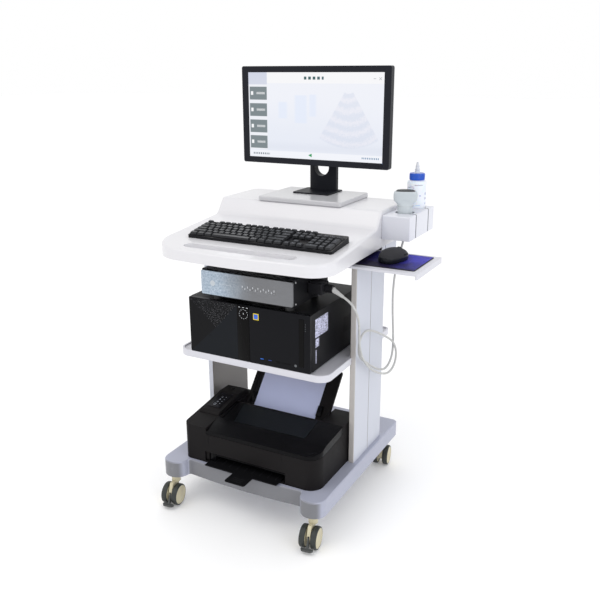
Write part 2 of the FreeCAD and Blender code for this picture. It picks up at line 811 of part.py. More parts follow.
main_rows = [
    [1.25, 1.25, 1.25, 6.25, 1.25, 1.25, 1.25, 1.25],
    [2.25] + [1.0] * 10 + [2.75],
    [1.75] + [1.0] * 11 + [2.25],
    [1.5] + [1.0] * 12 + [1.5],
    [1.0] * 13 + [2.0],
]
block_gap = 0.25           # in key units, between the key blocks
number_block_start = 18.0 + 2 * block_gap
light_strip_row = 5.1      # the plain strip above the number block starts here


def key_cells():
    """Each key as column, row, width and height in key units; the last value marks the space bar."""
    cells = []
    for row, widths in enumerate(main_rows):
        column_start = 0.0
        for width in widths:
            cells.append((column_start, row, width, 1.0, row == 0 and width == max(widths)))
            column_start += width
    starts = [0.0] + [2.0 + index for index in range(4)] + [6.5 + index for index in range(4)]
    starts += [11.0 + index for index in range(4)]
    cells += [(start, 5.25, 1.0, 0.75, False) for start in starts]
    nav = 15.0 + block_gap
    cells += [(nav + index, 0, 1.0, 1.0, False) for index in range(3)] + [(nav + 1, 1, 1.0, 1.0, False)]
    cells += [(nav + index, row, 1.0, 1.0, False) for row in (3, 4) for index in range(3)]
    cells += [(nav + index, 5.25, 1.0, 0.75, False) for index in range(3)]
    pad = number_block_start
    cells += [(pad, 0, 2.0, 1.0, False), (pad + 2, 0, 1.0, 1.0, False)]
    cells += [(pad + index, row, 1.0, 1.0, False) for row in (1, 2, 3) for index in range(3)]
    cells += [(pad + index, 4, 1.0, 1.0, False) for index in range(4)]
    cells += [(pad + 3, 0, 1.0, 2.0, False), (pad + 3, 2, 1.0, 2.0, False)]
    return cells


def keyboard_tilt():
    rise = keyboard_rear_height - keyboard_front_height
    return math.degrees(math.atan(surface_slope)) + math.degrees(math.asin(rise / keyboard_depth))


def keyboard_placement():
    """Puts the keyboard's own frame, with its top face at z = 0, onto the console."""
    surface_z = console_lip_z + (keyboard_front_y - console_front_y) * surface_slope
    corner = Vec(keyboard_center_x - keyboard_width / 2, keyboard_front_y, surface_z + keyboard_front_height)
    return FreeCAD.Placement(corner, FreeCAD.Rotation(X_AXIS, keyboard_tilt()))


def key_box(cell, top):
    column_start, row, width, height, _ = cell
    x = key_margin + column_start * key_pitch_x + key_gap / 2
    y = key_margin + row * key_pitch_y + key_gap / 2
    x_range = (x, x + width * key_pitch_x - key_gap)
    y_range = (y, y + height * key_pitch_y - key_gap)
    return x_range, y_range, (-key_well_depth + key_lift, top)


def key_post_box(cell, grow, depth):
    x_range, y_range, z_range = key_box(cell, 0)
    x = (x_range[0] + x_range[1]) / 2
    y = (y_range[0] + y_range[1]) / 2
    half = key_post / 2 + grow
    return box((x - half, x + half), (y - half, y + half), (z_range[0] - depth, z_range[0]))


def tapered_cap(cell):
    """A key, wider at its foot than at its top, with its guide post."""
    x_range, y_range, z_range = key_box(cell, -key_well_depth + key_lift + key_height)
    loops = []
    for inset, z in ((0.0, z_range[0]), (key_taper, z_range[1])):
        low_x, high_x = x_range[0] + inset, x_range[1] - inset
        low_y, high_y = y_range[0] + inset * 0.6, y_range[1] - inset
        corners = [Vec(low_x, low_y, z), Vec(high_x, low_y, z), Vec(high_x, high_y, z), Vec(low_x, high_y, z)]
        loops.append(Part.makePolygon(corners + corners[:1]))
    return Part.makeLoft(loops, True, True).fuse(key_post_box(cell, 0, key_post_length))


def keyboard_base():
    placement = keyboard_placement()
    block = plan_block((0, keyboard_width), (0, keyboard_depth), (-40, 0), 6.0, 6.0)
    well_x = (key_margin, keyboard_width - key_margin)
    well_y = (key_margin, keyboard_depth - key_margin)
    block = block.cut(box(well_x, well_y, (-key_well_depth, 0)))
    strip_x = (key_margin + number_block_start * key_pitch_x, keyboard_width - key_margin + 1)
    strip_y = (key_margin + light_strip_row * key_pitch_y, keyboard_depth - key_margin + 1)
    block = block.fuse(box(strip_x, strip_y, (-key_well_depth, 0))).removeSplitter()
    hole_depth = key_lift + key_post_length + 3.0
    holes = [key_post_box(cell, pin_gap * 2, hole_depth) for cell in key_cells()]
    block = block.cut(group(holes))
    block.Placement = placement.multiply(block.Placement)
    below = side_profile([(-400, console_lip_z - (400 + console_front_y) * surface_slope),
                          (200, console_lip_z + (200 - console_front_y) * surface_slope),
                          (200, 600), (-400, 600)], [0, 0, 0, 0], 300)
    return block.cut(below)


def keycaps(space):
    placement = keyboard_placement()
    caps = []
    for cell in key_cells():
        if cell[4] == space:
            cap = tapered_cap(cell)
            cap.Placement = placement.multiply(cap.Placement)
            caps.append(cap)
    return caps[0] if space else group(caps)


# ---------------------------------------------------------------- mouse tray and mouse

def mouse_tray():
    y_range = (tray_front_y, tray_rear_y)
    plate = plan_block((tray_inner_x, tray_outer_x), y_range, (tray_bottom_z, tray_top_z), 3.0, 3.0)
    flange = plan_block((tray_outer_x - tray_thickness, tray_outer_x), y_range,
                        (tray_top_z - tray_flange, tray_top_z), 2.9, 2.9)
    return plate.fuse(flange).removeSplitter()


def tray_rails():
    rails = []
    for edge_y, inward in ((tray_front_y, 1), (tray_rear_y, -1)):
        outer = edge_y - inward * (running_gap + rail_thickness)
        inner = edge_y + inward * rail_lip
        lower = (tray_bottom_z - running_gap - rail_thickness, cover_bottom_z)
        rail = box((rail_inner_x, rail_outer_x), sorted((outer, inner)), lower)
        groove_y = sorted((edge_y - inward * running_gap, inner))
        groove = box((rail_inner_x, rail_outer_x), groove_y,
                     (tray_bottom_z - running_gap, tray_top_z + running_gap))
        upper_cut = box((rail_inner_x, rail_outer_x), groove_y,
                        (tray_top_z + running_gap + rail_thickness, cover_bottom_z - rail_thickness))
        rails.append(rail.cut(groove).cut(upper_cut))
    return group(rails)


def tray_pad():
    return plan_block(pad_x, pad_y, (tray_top_z, tray_top_z + pad_thickness), 6.0, 6.0)


def mouse_origin():
    return Vec(mouse_center_x, mouse_center_y, tray_top_z + pad_thickness + running_gap)


def mouse_form():
    """The whole mouse, nose towards +Y, before its buttons are parted from it."""
    half_length = mouse_length / 2
    half_width = mouse_width / 2
    plan = Part.Ellipse(Vec(0, half_length, 0), Vec(half_width, 0, 0), Vec(0, 0, 0))
    prism = Part.Face(Part.Wire(plan.toShape())).extrude(Z_AXIS * mouse_height)
    long_radius = 62.0
    cross_radius = 44.0
    long_arch = cylinder(long_radius, 2 * mouse_width, Vec(-mouse_width, -4.0, mouse_height - long_radius), X_AXIS)
    cross_arch = cylinder(cross_radius, 2 * mouse_length, Vec(0, -mouse_length, mouse_height - cross_radius),
                          Y_AXIS)
    return prism.common(long_arch).common(cross_arch)


def mouse_parts():
    form = mouse_form()
    half_wheel = mouse_wheel_width / 2
    wide = mouse_width
    top = mouse_height + 1
    floor_z = mouse_height * 0.45
    gap = mouse_gap
    pocket = box((-wide, wide), (mouse_split_y, mouse_length), (floor_z, top))
    body = form.cut(pocket)
    wheel_center = Vec(0, mouse_length * 0.24, mouse_height - mouse_wheel_radius - 2.5)
    well = box((-half_wheel - gap, half_wheel + gap), (wheel_center.y - mouse_wheel_radius - 1.5,
               wheel_center.y + mouse_wheel_radius + 1.5), (wheel_center.z - mouse_wheel_radius - 1.5, top))
    body = body.cut(well)
    post_z = (wheel_center.z - mouse_wheel_radius - 1.5, wheel_center.z + 3.0)
    buttons = []
    for direction in (-1, 1):
        inner = direction * (half_wheel + gap + 2.4)
        x_range = sorted((inner, direction * wide))
        half = box(x_range, (mouse_split_y + gap, mouse_length), (floor_z + 3.0, top))
        button = form.common(half)
        buttons.append(button)
        post_x = sorted((direction * (half_wheel + gap), direction * (half_wheel + gap + 2.0)))
        body = body.fuse(box(post_x, (wheel_center.y - 3.0, wheel_center.y + 3.0), post_z))
    axle_hole_start = wheel_center - X_AXIS * (half_wheel + gap + 2.0)
    axle_length = 2 * (half_wheel + gap + 2.0)
    body = body.cut(cylinder(1.5 + pin_gap, axle_length, axle_hole_start, X_AXIS))
    roller = cylinder(mouse_wheel_radius, mouse_wheel_width, wheel_center - X_AXIS * half_wheel, X_AXIS)
    wheel = roller.fuse(cylinder(1.5, axle_length, axle_hole_start, X_AXIS))
    parts = []
    for shape in (body, buttons[0], buttons[1], wheel):
        moved = turned(shape, Vec(0, 0, 0), Z_AXIS, mouse_yaw)
        moved.translate(mouse_origin())
        parts.append(moved)
    return parts


# ---------------------------------------------------------------- holder, probe, bottle

def probe_holder():
    x_range = (console_right_x[1], holder_outer_x)
    outer = plan_block(x_range, holder_y, holder_z, 2.0, 2.0)
    outer = fillet_at_height(outer, 2.5, holder_z[1])
    inner_x = (x_range[0] + holder_wall, x_range[1] - holder_wall)
    inner_y = (holder_y[0] + holder_wall, holder_y[1] - holder_wall)
    hollow = box(inner_x, inner_y, (holder_z[0], holder_z[1] - holder_wall * 1.5))
    block = outer.cut(hollow)
    cups = ((probe_cup_y, probe_cup_radius, slit_y[0]), (bottle_cup_y, bottle_cup_radius, slit_y[1]))
    depth = holder_z[1] - holder_z[0]
    for y, radius, _ in cups:
        wall = cylinder(radius + holder_wall, depth, Vec(cup_x, y, holder_z[0]))
        block = block.fuse(wall.common(outer))
    for y, radius, slit in cups:
        block = block.cut(cylinder(radius, depth, Vec(cup_x, y, cup_floor_z)))
        block = block.cut(cylinder(cable_hole_radius, holder_floor, Vec(cup_x, y, holder_z[0])))
        cup_edge = cup_x + math.sqrt(radius ** 2 - (slit - y) ** 2) - 4.0
        block = block.cut(box((cup_edge, holder_outer_x + 1), (slit - slit_width / 2, slit + slit_width / 2),
                              holder_z))
    return block.removeSplitter()


def probe_frame(shape):
    moved = turned(shape, Vec(0, 0, 0), Z_AXIS, probe_yaw)
    moved.translate(Vec(cup_x, probe_cup_y, 0))
    return moved


def probe_body():
    bottom_z = cup_floor_z + running_gap
    neck_z = holder_z[1] + probe_neck_height
    handle = cylinder(probe_handle_radius, neck_z - bottom_z, Vec(0, 0, bottom_z))
    handle = handle.makeChamfer(3.0, [edge for edge in handle.Edges if abs(edge.BoundBox.ZMax - bottom_z) < 0.1])
    half = probe_head_width / 2
    side = probe_handle_radius
    top_z = neck_z + probe_head_height - probe_lens_height
    pairs = [(-side, neck_z - 12.0), (side, neck_z - 12.0), (side + 1, neck_z), (half, neck_z + 19.0),
             (half - 4, top_z), (-half + 4, top_z), (-half, neck_z + 19.0), (-side - 1, neck_z)]
    depth = probe_head_depth / 2
    points = [Vec(x, -depth, z) for x, z in pairs]
    head = outline(points, [0, 0, 8.0, 14.0, 5.0, 5.0, 14.0, 8.0]).extrude(Y_AXIS * probe_head_depth)
    bore = cylinder(cable_radius, 10.0, Vec(0, 0, bottom_z))
    return probe_frame(handle.fuse(head).cut(bore).removeSplitter())


def probe_lens():
    half = probe_head_width / 2 - 7.0
    top_z = holder_z[1] + probe_neck_height + probe_head_height - probe_lens_height
    depth = probe_head_depth / 2 - 3.0
    arc = Part.Arc(Vec(-half, -depth, top_z), Vec(0, -depth, top_z + probe_lens_height), Vec(half, -depth, top_z))
    base = Part.LineSegment(Vec(half, -depth, top_z), Vec(-half, -depth, top_z))
    face = Part.Face(Part.Wire([arc.toShape(), base.toShape()]))
    return probe_frame(face.extrude(Y_AXIS * (2 * depth)))


def bottle_places():
    bottom = cup_floor_z + running_gap
    body_top = bottom + bottle_height
    return bottom, body_top


def gel_bottle():
    bottom, top = bottle_places()
    center = Vec(cup_x, bottle_cup_y, bottom)
    body = cylinder(bottle_radius, bottle_height, center)
    body = body.makeFillet(bottle_shoulder, [edge for edge in body.Edges if abs(edge.BoundBox.ZMin - top) < 0.1
                                             and edge.BoundBox.ZLength < 0.1])
    neck = cylinder(cap_radius - 5.0, cap_height - 5.0, Vec(cup_x, bottle_cup_y, top))
    return body.fuse(neck)


def bottle_cap():
    top = bottle_places()[1]
    base = Vec(cup_x, bottle_cup_y, top + running_gap)
    cap = cylinder(cap_radius, cap_height - running_gap, base)
    cap = cap.cut(cylinder(cap_radius - 5.0 + pin_gap, cap_height - 5.0, base))
    nozzle_base = Vec(cup_x, bottle_cup_y, top + cap_height)
    nozzle = Part.makeCone(nozzle_radius, 3.0, nozzle_height, nozzle_base)
    return cap.fuse(nozzle)


# ---------------------------------------------------------------- engine

def engine_chassis():
    y_range = (engine_front_y, engine_rear_y)
    outer = box(engine_x, y_range, engine_z)
    inner = box((engine_x[0] + engine_wall, engine_x[1] - engine_wall),
                (engine_front_y, engine_rear_y - engine_wall),
                (engine_z[0] + engine_wall, engine_z[1] - engine_wall))
    return outer.cut(inner)


def engine_faceplate():
    y_range = (engine_front_y - faceplate_thickness, engine_front_y)
    return front_block(engine_x, y_range, faceplate_z, faceplate_corner)


def probe_plug():
    x = engine_x[1]
    body = plan_block((x, x + plug_length), (plug_y - plug_depth / 2, plug_y + plug_depth / 2), plug_z, 5.0, 5.0)
    sleeve = cylinder(sleeve_radius, sleeve_length, Vec(x + plug_length, plug_y, plug_center_z), X_AXIS)
    return body.fuse(sleeve)


def relief_axis():
    angle = math.radians(relief_droop)
    return Vec(math.cos(angle), 0, -math.sin(angle))


def relief_start():
    return Vec(engine_x[1] + plug_length + sleeve_length, plug_y, plug_center_z - 2.0)


def cable_relief():
    start = relief_start()
    cone = Part.makeCone(relief_radius, cable_radius + 1.0, relief_length, start, relief_axis())
    overhang = box((start.x - 20, start.x), (plug_y - 20, plug_y + 20), (plug_z[0] - 20, plug_z[1] + 20))
    boot = cylinder(relief_radius, 4.0, start, X_AXIS)
    return boot.fuse(cone).cut(overhang).removeSplitter()


def cable_points():
    """The cable's route: out of its plug, down past the column, one loose loop, up to the probe."""
    start = relief_start() + relief_axis() * relief_length
    cup = Vec(cup_x, probe_cup_y, cup_floor_z)
    return [
        start,
        start + relief_axis() * 24.0,
        Vec(273, -87, 624),
        Vec(276, -73, 598),
        Vec(274, -60, 564),
        Vec(271, -53, 522),
        Vec(271, -37, 480),
        Vec(274, -8, 444),
        Vec(278, 33, 411),
        Vec(283, 80, 386),
        Vec(289, 126, 371),
        Vec(293, 164, 386),
        Vec(293, 176, 424),
        Vec(288, 158, 460),
        Vec(280, 118, 487),
        Vec(272, 76, 511),
        Vec(266, 36, 530),
        Vec(262, 3, 537),
        Vec(260, -22, 523),
        Vec(259, -31, 494),
        Vec(260, -20, 465),
        Vec(263, 8, 446),
        Vec(266, 46, 419),
        Vec(271, 88, 394),
        Vec(276, 132, 379),
        Vec(280, 168, 399),
        Vec(282, 175, 444),
        Vec(281, 171, 500),
        Vec(280, 163, 562),
        cup + Vec(-20, -18, -159),
        cup + Vec(-15, -13, -99),
        cup + Vec(-5, -4, -48),
        cup + Vec(0, 0, -21),
        cup + Vec(0, 0, running_gap),
    ]


def cable_radii(points):
    radii = [0.0]
    for before, point, after in zip(points, points[1:], points[2:]):
        turn = (point - before).getAngle(after - point)
        shorter = min((point - before).Length, (after - point).Length)
        radii.append(0.45 * shorter / math.tan(turn / 2))
    return radii + [0.0]


def probe_cable():
    points = cable_points()
    radii = cable_radii(points)
    path = Part.Wire(rounded_edges(points, radii, False))
    direction = points[1] - points[0]
    section = Part.Wire(Part.Circle(points[0], direction, cable_radius).toShape())
    tube = path.makePipeShell([section], True, False)
    expected = math.pi * cable_radius ** 2 * path.Length
    print("probe cable: length %.0f mm, volume ratio %.4f, valid %s"
          % (path.Length, tube.Volume / expected, tube.isValid()))
    print("cable arc radii:", " ".join("%.0f" % radius for radius in radii[1:-1]))
    return tube


# ---------------------------------------------------------------- computer

def computer_case():
    x_range = (-computer_half_width, computer_half_width)
    front = computer_front_y + computer_front_depth
    outer = box(x_range, (front, computer_rear_y), computer_z)
    inner = box((x_range[0] + computer_wall, x_range[1] - computer_wall),
                (front, computer_rear_y - computer_wall),
                (computer_z[0] + computer_wall, computer_z[1] - computer_wall))
    cage_x = (drive_x - drive_width / 2 - 6.0, drive_x + drive_width / 2 + 6.0)
    cage_y = (front, front + drive_depth)
    cage = box(cage_x, cage_y, (computer_z[0], drive_z[0] - running_gap))
    return outer.cut(inner).fuse(cage)


def computer_front():
    x_range = (-computer_half_width, computer_half_width)
    y_range = (computer_front_y, computer_front_y + computer_front_depth)
    panel = front_block(x_range, y_range, computer_z, 3.0)
    band = box((power_x - 20.0, power_x + 17.0), (computer_front_y, computer_front_y + 2.0), computer_z)
    button_hole = cylinder(power_radius + running_gap, computer_front_depth,
                           Vec(power_x, computer_front_y, power_z), Y_AXIS)
    drive_slot = box((drive_x - drive_width / 2 - running_gap, drive_x + drive_width / 2 + running_gap),
                     y_range, (drive_z[0] - running_gap, drive_z[1] + running_gap))
    return panel.cut(band).cut(button_hole).cut(drive_slot)


def computer_power():
    start = Vec(power_x, computer_front_y - 0.5, power_z)
    return cylinder(power_radius, computer_front_depth - 2.0, start, Y_AXIS)


def drive_tray():
    x_range = (drive_x - drive_width / 2, drive_x + drive_width / 2)
    return box(x_range, (computer_front_y, computer_front_y + computer_front_depth + drive_depth), drive_z)


def rubber_feet():
    feet = []
    inset = 28.0
    for x in (-computer_half_width + inset, computer_half_width - inset):
        for y in (computer_front_y + inset, computer_rear_y - inset):
            feet.append(cylinder(foot_radius, computer_z[0] - shelf_floor_z, Vec(x, y, shelf_floor_z)))
    for x in (engine_x[0] + inset, engine_x[1] - inset):
        for y in (engine_front_y + inset, engine_rear_y - inset):
            feet.append(cylinder(foot_radius, engine_z[0] - computer_z[1], Vec(x, y, computer_z[1])))
    return group(feet)


# ---------------------------------------------------------------- printer

def printer_seam(y):
    return printer_seam_z + (y - printer_y[0]) * printer_seam_slope


def printer_plan(inset, z_range):
    front = printer_y[0] + inset
    rear = printer_y[1] - inset
    places = [(printer_x[0] + inset, front), (printer_x[1] - inset, front), (printer_x[1] - inset, rear),
              (printer_x[0] + inset, rear)]
    radii = [radius - inset for radius in printer_corners + (printer_rear_corner, printer_rear_corner)]
    face = outline([Vec(x, y, z_range[0]) for x, y in places], radii)
    return face.extrude(Z_AXIS * (z_range[1] - z_range[0]))


def printer_body_below(top_pairs, bottom):
    """The printer's rounded block under a line that runs from its front to its rear."""
    whole = printer_plan(0, (bottom, printer_top_z + 1.0))
    front, rear = top_pairs[0], top_pairs[-1]
    pairs = [(front[0] - 1.0, bottom - 1.0), (front[0] - 1.0, front[1])] + top_pairs[1:-1]
    pairs += [(rear[0] + 1.0, rear[1]), (rear[0] + 1.0, bottom - 1.0)]
    return whole.common(side_profile(pairs, [0] * len(pairs), 300))


def printer_base():
    front, rear = printer_y
    block = printer_body_below([(front, printer_seam(front)), (rear, printer_seam(rear))], deck_z)
    inner = printer_plan(printer_wall, (deck_z + printer_wall, printer_seam_z - 38.0))
    slot = box(output_x, (front - 5.0, front + output_depth), output_z)
    block = block.cut(inner).cut(slot)
    bed = box(output_x, (front + printer_wall, front + output_depth), (deck_z, output_z[0]))
    block = block.fuse(bed)
    left = printer_body_below([(front, panel_lip_z), (panel_level_y, printer_top_z),
                               (rear, printer_top_z)], printer_seam_z - 10.0)
    left = left.common(box((printer_x[0], cover_left_x - running_gap), (front, panel_rear_y), (0, 500)))
    panel_top = printer_top_z + panel_raise
    panel = side_profile([(panel_front_y, printer_seam_z), (panel_front_y, printer_brow_z + 2.0),
                          (panel_front_y + 8.0, printer_brow_z + 9.0), (panel_level_y, panel_top),
                          (panel_rear_y - 10.0, panel_top), (panel_rear_y, printer_top_z - 4.0),
                          (panel_rear_y, printer_seam_z)], [0, 2.0, 8.0, 30.0, 5.0, 0, 0], 300)
    panel = panel.common(box((printer_x[0] + 10.0, cover_left_x - 2.0), (-400, 400), (0, 500)))
    rear_block = plan_block(printer_x, (cover_hinge_y + running_gap, rear), (printer_seam_z, lid_rear_z),
                            0, printer_rear_corner)
    mouth = box((support_x[0] - 1.0, support_x[1] + 1.0), (cover_hinge_y + 6.0, rear + 1.0),
                (support_hinge_z - 6.0, printer_top_z + 1.0))
    block = block.fuse(left).fuse(panel).fuse(rear_block).cut(mouth)
    for x, direction in ((support_x[0] - 1.0, X_AXIS), (support_x[1] + 1.0, -X_AXIS)):
        pin_start = Vec(x, support_hinge_y, support_hinge_z)
        block = block.fuse(cylinder(support_pin_radius, 6.0, pin_start, direction))
    hole = cylinder(printer_button_radius + running_gap, 6.0, printer_button_start() - Z_AXIS * 1.5)
    return block.cut(hole).removeSplitter()


def printer_button_start():
    return Vec((printer_x[0] + cover_left_x) / 2, -8.0, printer_top_z + panel_raise - 4.0)


def printer_power():
    return cylinder(printer_button_radius, 4.8, printer_button_start())


def printer_cover():
    front = printer_y[0]
    top = [(front, printer_lip_z), (printer_brow_y, printer_brow_z), (cover_hinge_y, lid_rear_z),
           (printer_y[1], lid_rear_z)]
    lid = printer_body_below(top, printer_seam_z - 10.0)
    seam = [(front, printer_seam(front) + running_gap), (printer_y[1], printer_seam(printer_y[1]) + running_gap)]
    lid = lid.cut(printer_body_below(seam, printer_seam_z - 20.0))
    lid = lid.common(box((cover_left_x, printer_x[1]), (front, cover_hinge_y), (0, 500)))
    hollow = box((cover_left_x + 5.0, printer_x[1] - 8.0), (front + 62.0, cover_hinge_y - 5.0),
                 (0, printer_brow_z - 5.0))
    return lid.cut(hollow)


def output_tray():
    z_range = (output_z[0] + running_gap, output_z[0] + running_gap + tray_plate_thickness)
    plate = box((output_x[0] + tray_plate_inset, output_x[1] - tray_plate_inset),
                (printer_y[0] - tray_plate_reach, printer_y[0] + output_depth - 40.0), z_range)
    tab = plan_block(tray_tab_x, (printer_y[0] - tray_tab_reach, printer_y[0]), z_range, 6.0, 0)
    return plate.fuse(tab)


def lean(shape):
    pivot = Vec(0, support_hinge_y, support_hinge_z)
    return turned(shape, pivot, X_AXIS, -support_lean)


def paper_support():
    half = support_thickness / 2
    y_range = (support_hinge_y - half, support_hinge_y + half)
    plate = front_block(support_x, y_range, (support_hinge_z - 4.0, support_hinge_z + support_length), 3.0)
    for x in (support_x[0], support_x[1] - 12.0):
        plate = plate.fuse(box((x, x + 12.0), (support_hinge_y - 4.0, support_hinge_y + 4.0),
                               (support_hinge_z - 4.0, support_hinge_z + support_length - 3.0)))
    for x in (support_x[0], support_x[1] - 8.0):
        hinge_start = Vec(x, support_hinge_y, support_hinge_z)
        plate = plate.cut(cylinder(support_pin_radius + pin_gap, 8.0, hinge_start, X_AXIS))
    return lean(plate)


def paper_sheet():
    front = support_hinge_y - support_thickness / 2
    y_range = (front - paper_thickness, front)
    return lean(box(paper_x, y_range, (support_hinge_z + 2.0, support_hinge_z + 2.0 + paper_length)))


# ---------------------------------------------------------------- the machine

def build():
    pieces = {
        "base_cover": base_cover(),
        "base_frame": base_frame(),
        "column_left": column(-1),
        "column_right": column(1),
        "middle_shelf": middle_shelf(),
        "frame_brackets": frame_brackets(),
        "frame_screws": frame_screws(),
        "rear_support": rear_support(),
        "console_shell": console_shell(),
        "console_cover": console_cover(),
        "monitor_platform": monitor_platform(),
        "stand_base": stand_base(),
        "stand_neck": stand_neck(),
        "monitor_head": monitor_head(),
        "monitor_back": monitor_back(),
        "monitor_bezel": monitor_bezel(),
        "monitor_panel": monitor_panel(),
        "keyboard_base": keyboard_base(),
        "keycaps": keycaps(False),
        "space_bar": keycaps(True),
        "tray_rails": tray_rails(),
        "mouse_tray": mouse_tray(),
        "tray_pad": tray_pad(),
        "probe_holder": probe_holder(),
        "probe_body": probe_body(),
        "probe_lens": probe_lens(),
        "gel_bottle": gel_bottle(),
        "bottle_cap": bottle_cap(),
        "engine_chassis": engine_chassis(),
        "engine_faceplate": engine_faceplate(),
        "probe_plug": probe_plug(),
        "cable_relief": cable_relief(),
        "probe_cable": probe_cable(),
        "computer_case": computer_case(),
        "computer_front": computer_front(),
        "computer_power": computer_power(),
        "drive_tray": drive_tray(),
        "rubber_feet": rubber_feet(),
        "printer_base": printer_base(),
        "printer_cover": printer_cover(),
        "printer_power": printer_power(),
        "output_tray": output_tray(),
        "paper_support": paper_support(),
        "paper_sheet": paper_sheet(),
    }
    mouse_names = ("mouse_body", "mouse_button_left", "mouse_button_right", "mouse_wheel")
    pieces.update(zip(mouse_names, mouse_parts()))
    button_places = monitor_button_places()
    pieces["monitor_power"] = monitor_button(button_places[0])
    pieces["monitor_menu"] = group([monitor_button(place) for place in button_places[1:]])
    for corner, place in caster_places().items():
        braked = corner.startswith("front")
        names = ["caster_fork_", "caster_wheels_"] + (["brake_pedal_"] if braked else [])
        for name, shape in zip(names, caster_parts(place, braked)):
            pieces[name + corner] = shape
    return pieces


def footprint_center(pieces):
    """The middle of the machine on the floor, without its loose cable."""
    bounds = group([shape for node, shape in pieces.items() if node != "probe_cable"]).optimalBoundingBox()
    return Vec((bounds.XMin + bounds.XMax) / 2, (bounds.YMin + bounds.YMax) / 2, 0)


if __name__ == "__main__":
    os.makedirs("parts", exist_ok=True)
    machine = build()
    center = footprint_center(machine)
    print("origin", center)
    for node, shape in machine.items():
        shape.translate(-center)
        shape.exportStep("parts/" + node + ".step")
        print(node, len(shape.Solids), "solids", shape.isValid(), "%.0f" % shape.Volume)
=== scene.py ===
import bmesh
import bpy
import json
import math
import random

from mathutils import Matrix, Vector
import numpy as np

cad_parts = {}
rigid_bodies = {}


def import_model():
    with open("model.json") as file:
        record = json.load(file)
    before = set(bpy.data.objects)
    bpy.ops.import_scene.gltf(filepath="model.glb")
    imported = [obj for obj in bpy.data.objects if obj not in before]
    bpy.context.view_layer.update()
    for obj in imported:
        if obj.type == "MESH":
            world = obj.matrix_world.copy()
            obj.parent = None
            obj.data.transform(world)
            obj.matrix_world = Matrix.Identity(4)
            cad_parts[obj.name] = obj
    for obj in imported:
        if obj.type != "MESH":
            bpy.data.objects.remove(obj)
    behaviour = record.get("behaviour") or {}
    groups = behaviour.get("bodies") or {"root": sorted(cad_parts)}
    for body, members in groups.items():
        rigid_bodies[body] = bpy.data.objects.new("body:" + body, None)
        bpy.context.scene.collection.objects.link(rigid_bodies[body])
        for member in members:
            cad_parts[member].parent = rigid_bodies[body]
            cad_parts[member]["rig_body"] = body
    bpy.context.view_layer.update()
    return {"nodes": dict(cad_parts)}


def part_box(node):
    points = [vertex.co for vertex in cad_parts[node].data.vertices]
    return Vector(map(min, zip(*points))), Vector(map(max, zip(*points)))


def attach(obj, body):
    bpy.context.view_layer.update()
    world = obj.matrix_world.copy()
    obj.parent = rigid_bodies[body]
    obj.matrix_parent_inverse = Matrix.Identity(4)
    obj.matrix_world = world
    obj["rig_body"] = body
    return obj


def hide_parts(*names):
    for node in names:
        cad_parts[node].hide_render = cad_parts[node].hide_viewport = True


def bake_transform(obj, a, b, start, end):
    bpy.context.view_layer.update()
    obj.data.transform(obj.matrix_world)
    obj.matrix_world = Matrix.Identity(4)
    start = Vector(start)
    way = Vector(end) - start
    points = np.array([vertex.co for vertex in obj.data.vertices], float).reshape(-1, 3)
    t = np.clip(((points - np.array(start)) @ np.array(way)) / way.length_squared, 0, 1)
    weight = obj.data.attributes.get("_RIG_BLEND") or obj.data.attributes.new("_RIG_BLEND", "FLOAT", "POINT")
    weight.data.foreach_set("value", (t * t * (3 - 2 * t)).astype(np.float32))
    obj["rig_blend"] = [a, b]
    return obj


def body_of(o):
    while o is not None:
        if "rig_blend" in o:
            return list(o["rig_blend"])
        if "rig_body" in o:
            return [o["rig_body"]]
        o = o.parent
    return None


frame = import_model()
nodes = frame["nodes"]
scene = bpy.context.scene

# All places below are in metres from the trolley's own middle, on the floor
baseLow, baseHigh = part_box("base_cover")
baseRear = 0.295
trolleyZero = Vector(((baseLow.x + baseHigh.x) / 2, baseHigh.y - baseRear, 0))


def at(x, y, z):
    return trolleyZero + Vector((x, y, z))


def span(node):
    low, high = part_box(node)
    return low - trolleyZero, high - trolleyZero


def linked(name, data):
    piece = bpy.data.objects.new(name, data)
    scene.collection.objects.link(piece)
    return piece


def applied(piece):
    # the piece's mesh with its modifiers worked in
    return bpy.data.meshes.new_from_object(piece.evaluated_get(bpy.context.evaluated_depsgraph_get()))


# Camera, floor and light

cameraValues = {"azimuth": 28.2, "elevation": 17.45, "roll": -0.24, "lens": 44.23,
                "distance": 2.0832, "target": (0.0637, 0, 0.5982)}


def makeCamera(values):
    azimuth, elevation, roll = (math.radians(values[key]) for key in ("azimuth", "elevation", "roll"))
    back = Vector((math.sin(azimuth) * math.cos(elevation), -math.cos(azimuth) * math.cos(elevation),
                   math.sin(elevation)))
    right = Vector((math.cos(azimuth), math.sin(azimuth), 0))
    up = back.cross(right)
    rolledRight = right * math.cos(roll) + up * math.sin(roll)
    rolledUp = up * math.cos(roll) - right * math.sin(roll)
    turn = Matrix((rolledRight, rolledUp, back)).transposed().to_4x4()
    data = bpy.data.cameras.new("camera")
    data.lens = values["lens"]
    data.sensor_width = 36
    camera = linked("camera", data)
    camera.matrix_world = Matrix.Translation(at(*values["target"]) + back * values["distance"]) @ turn
    scene.camera = camera


lightValues = {
    "world": 1.0,
    "lamps": [
        # name, place, size, power in watts, colour
        ("keyLamp", (-1.2, -1.8, 3.2), 1.8, 19, (1.0, 0.97, 0.93)),
        ("fillLamp", (2.8, -1.2, 1.5), 1.6, 17, (0.90, 0.94, 1.0)),
        ("rearLamp", (-1.0, 2.2, 2.6), 1.6, 6, (0.92, 0.95, 1.0)),
    ],
    "aim": (0, 0, 0.6),
}


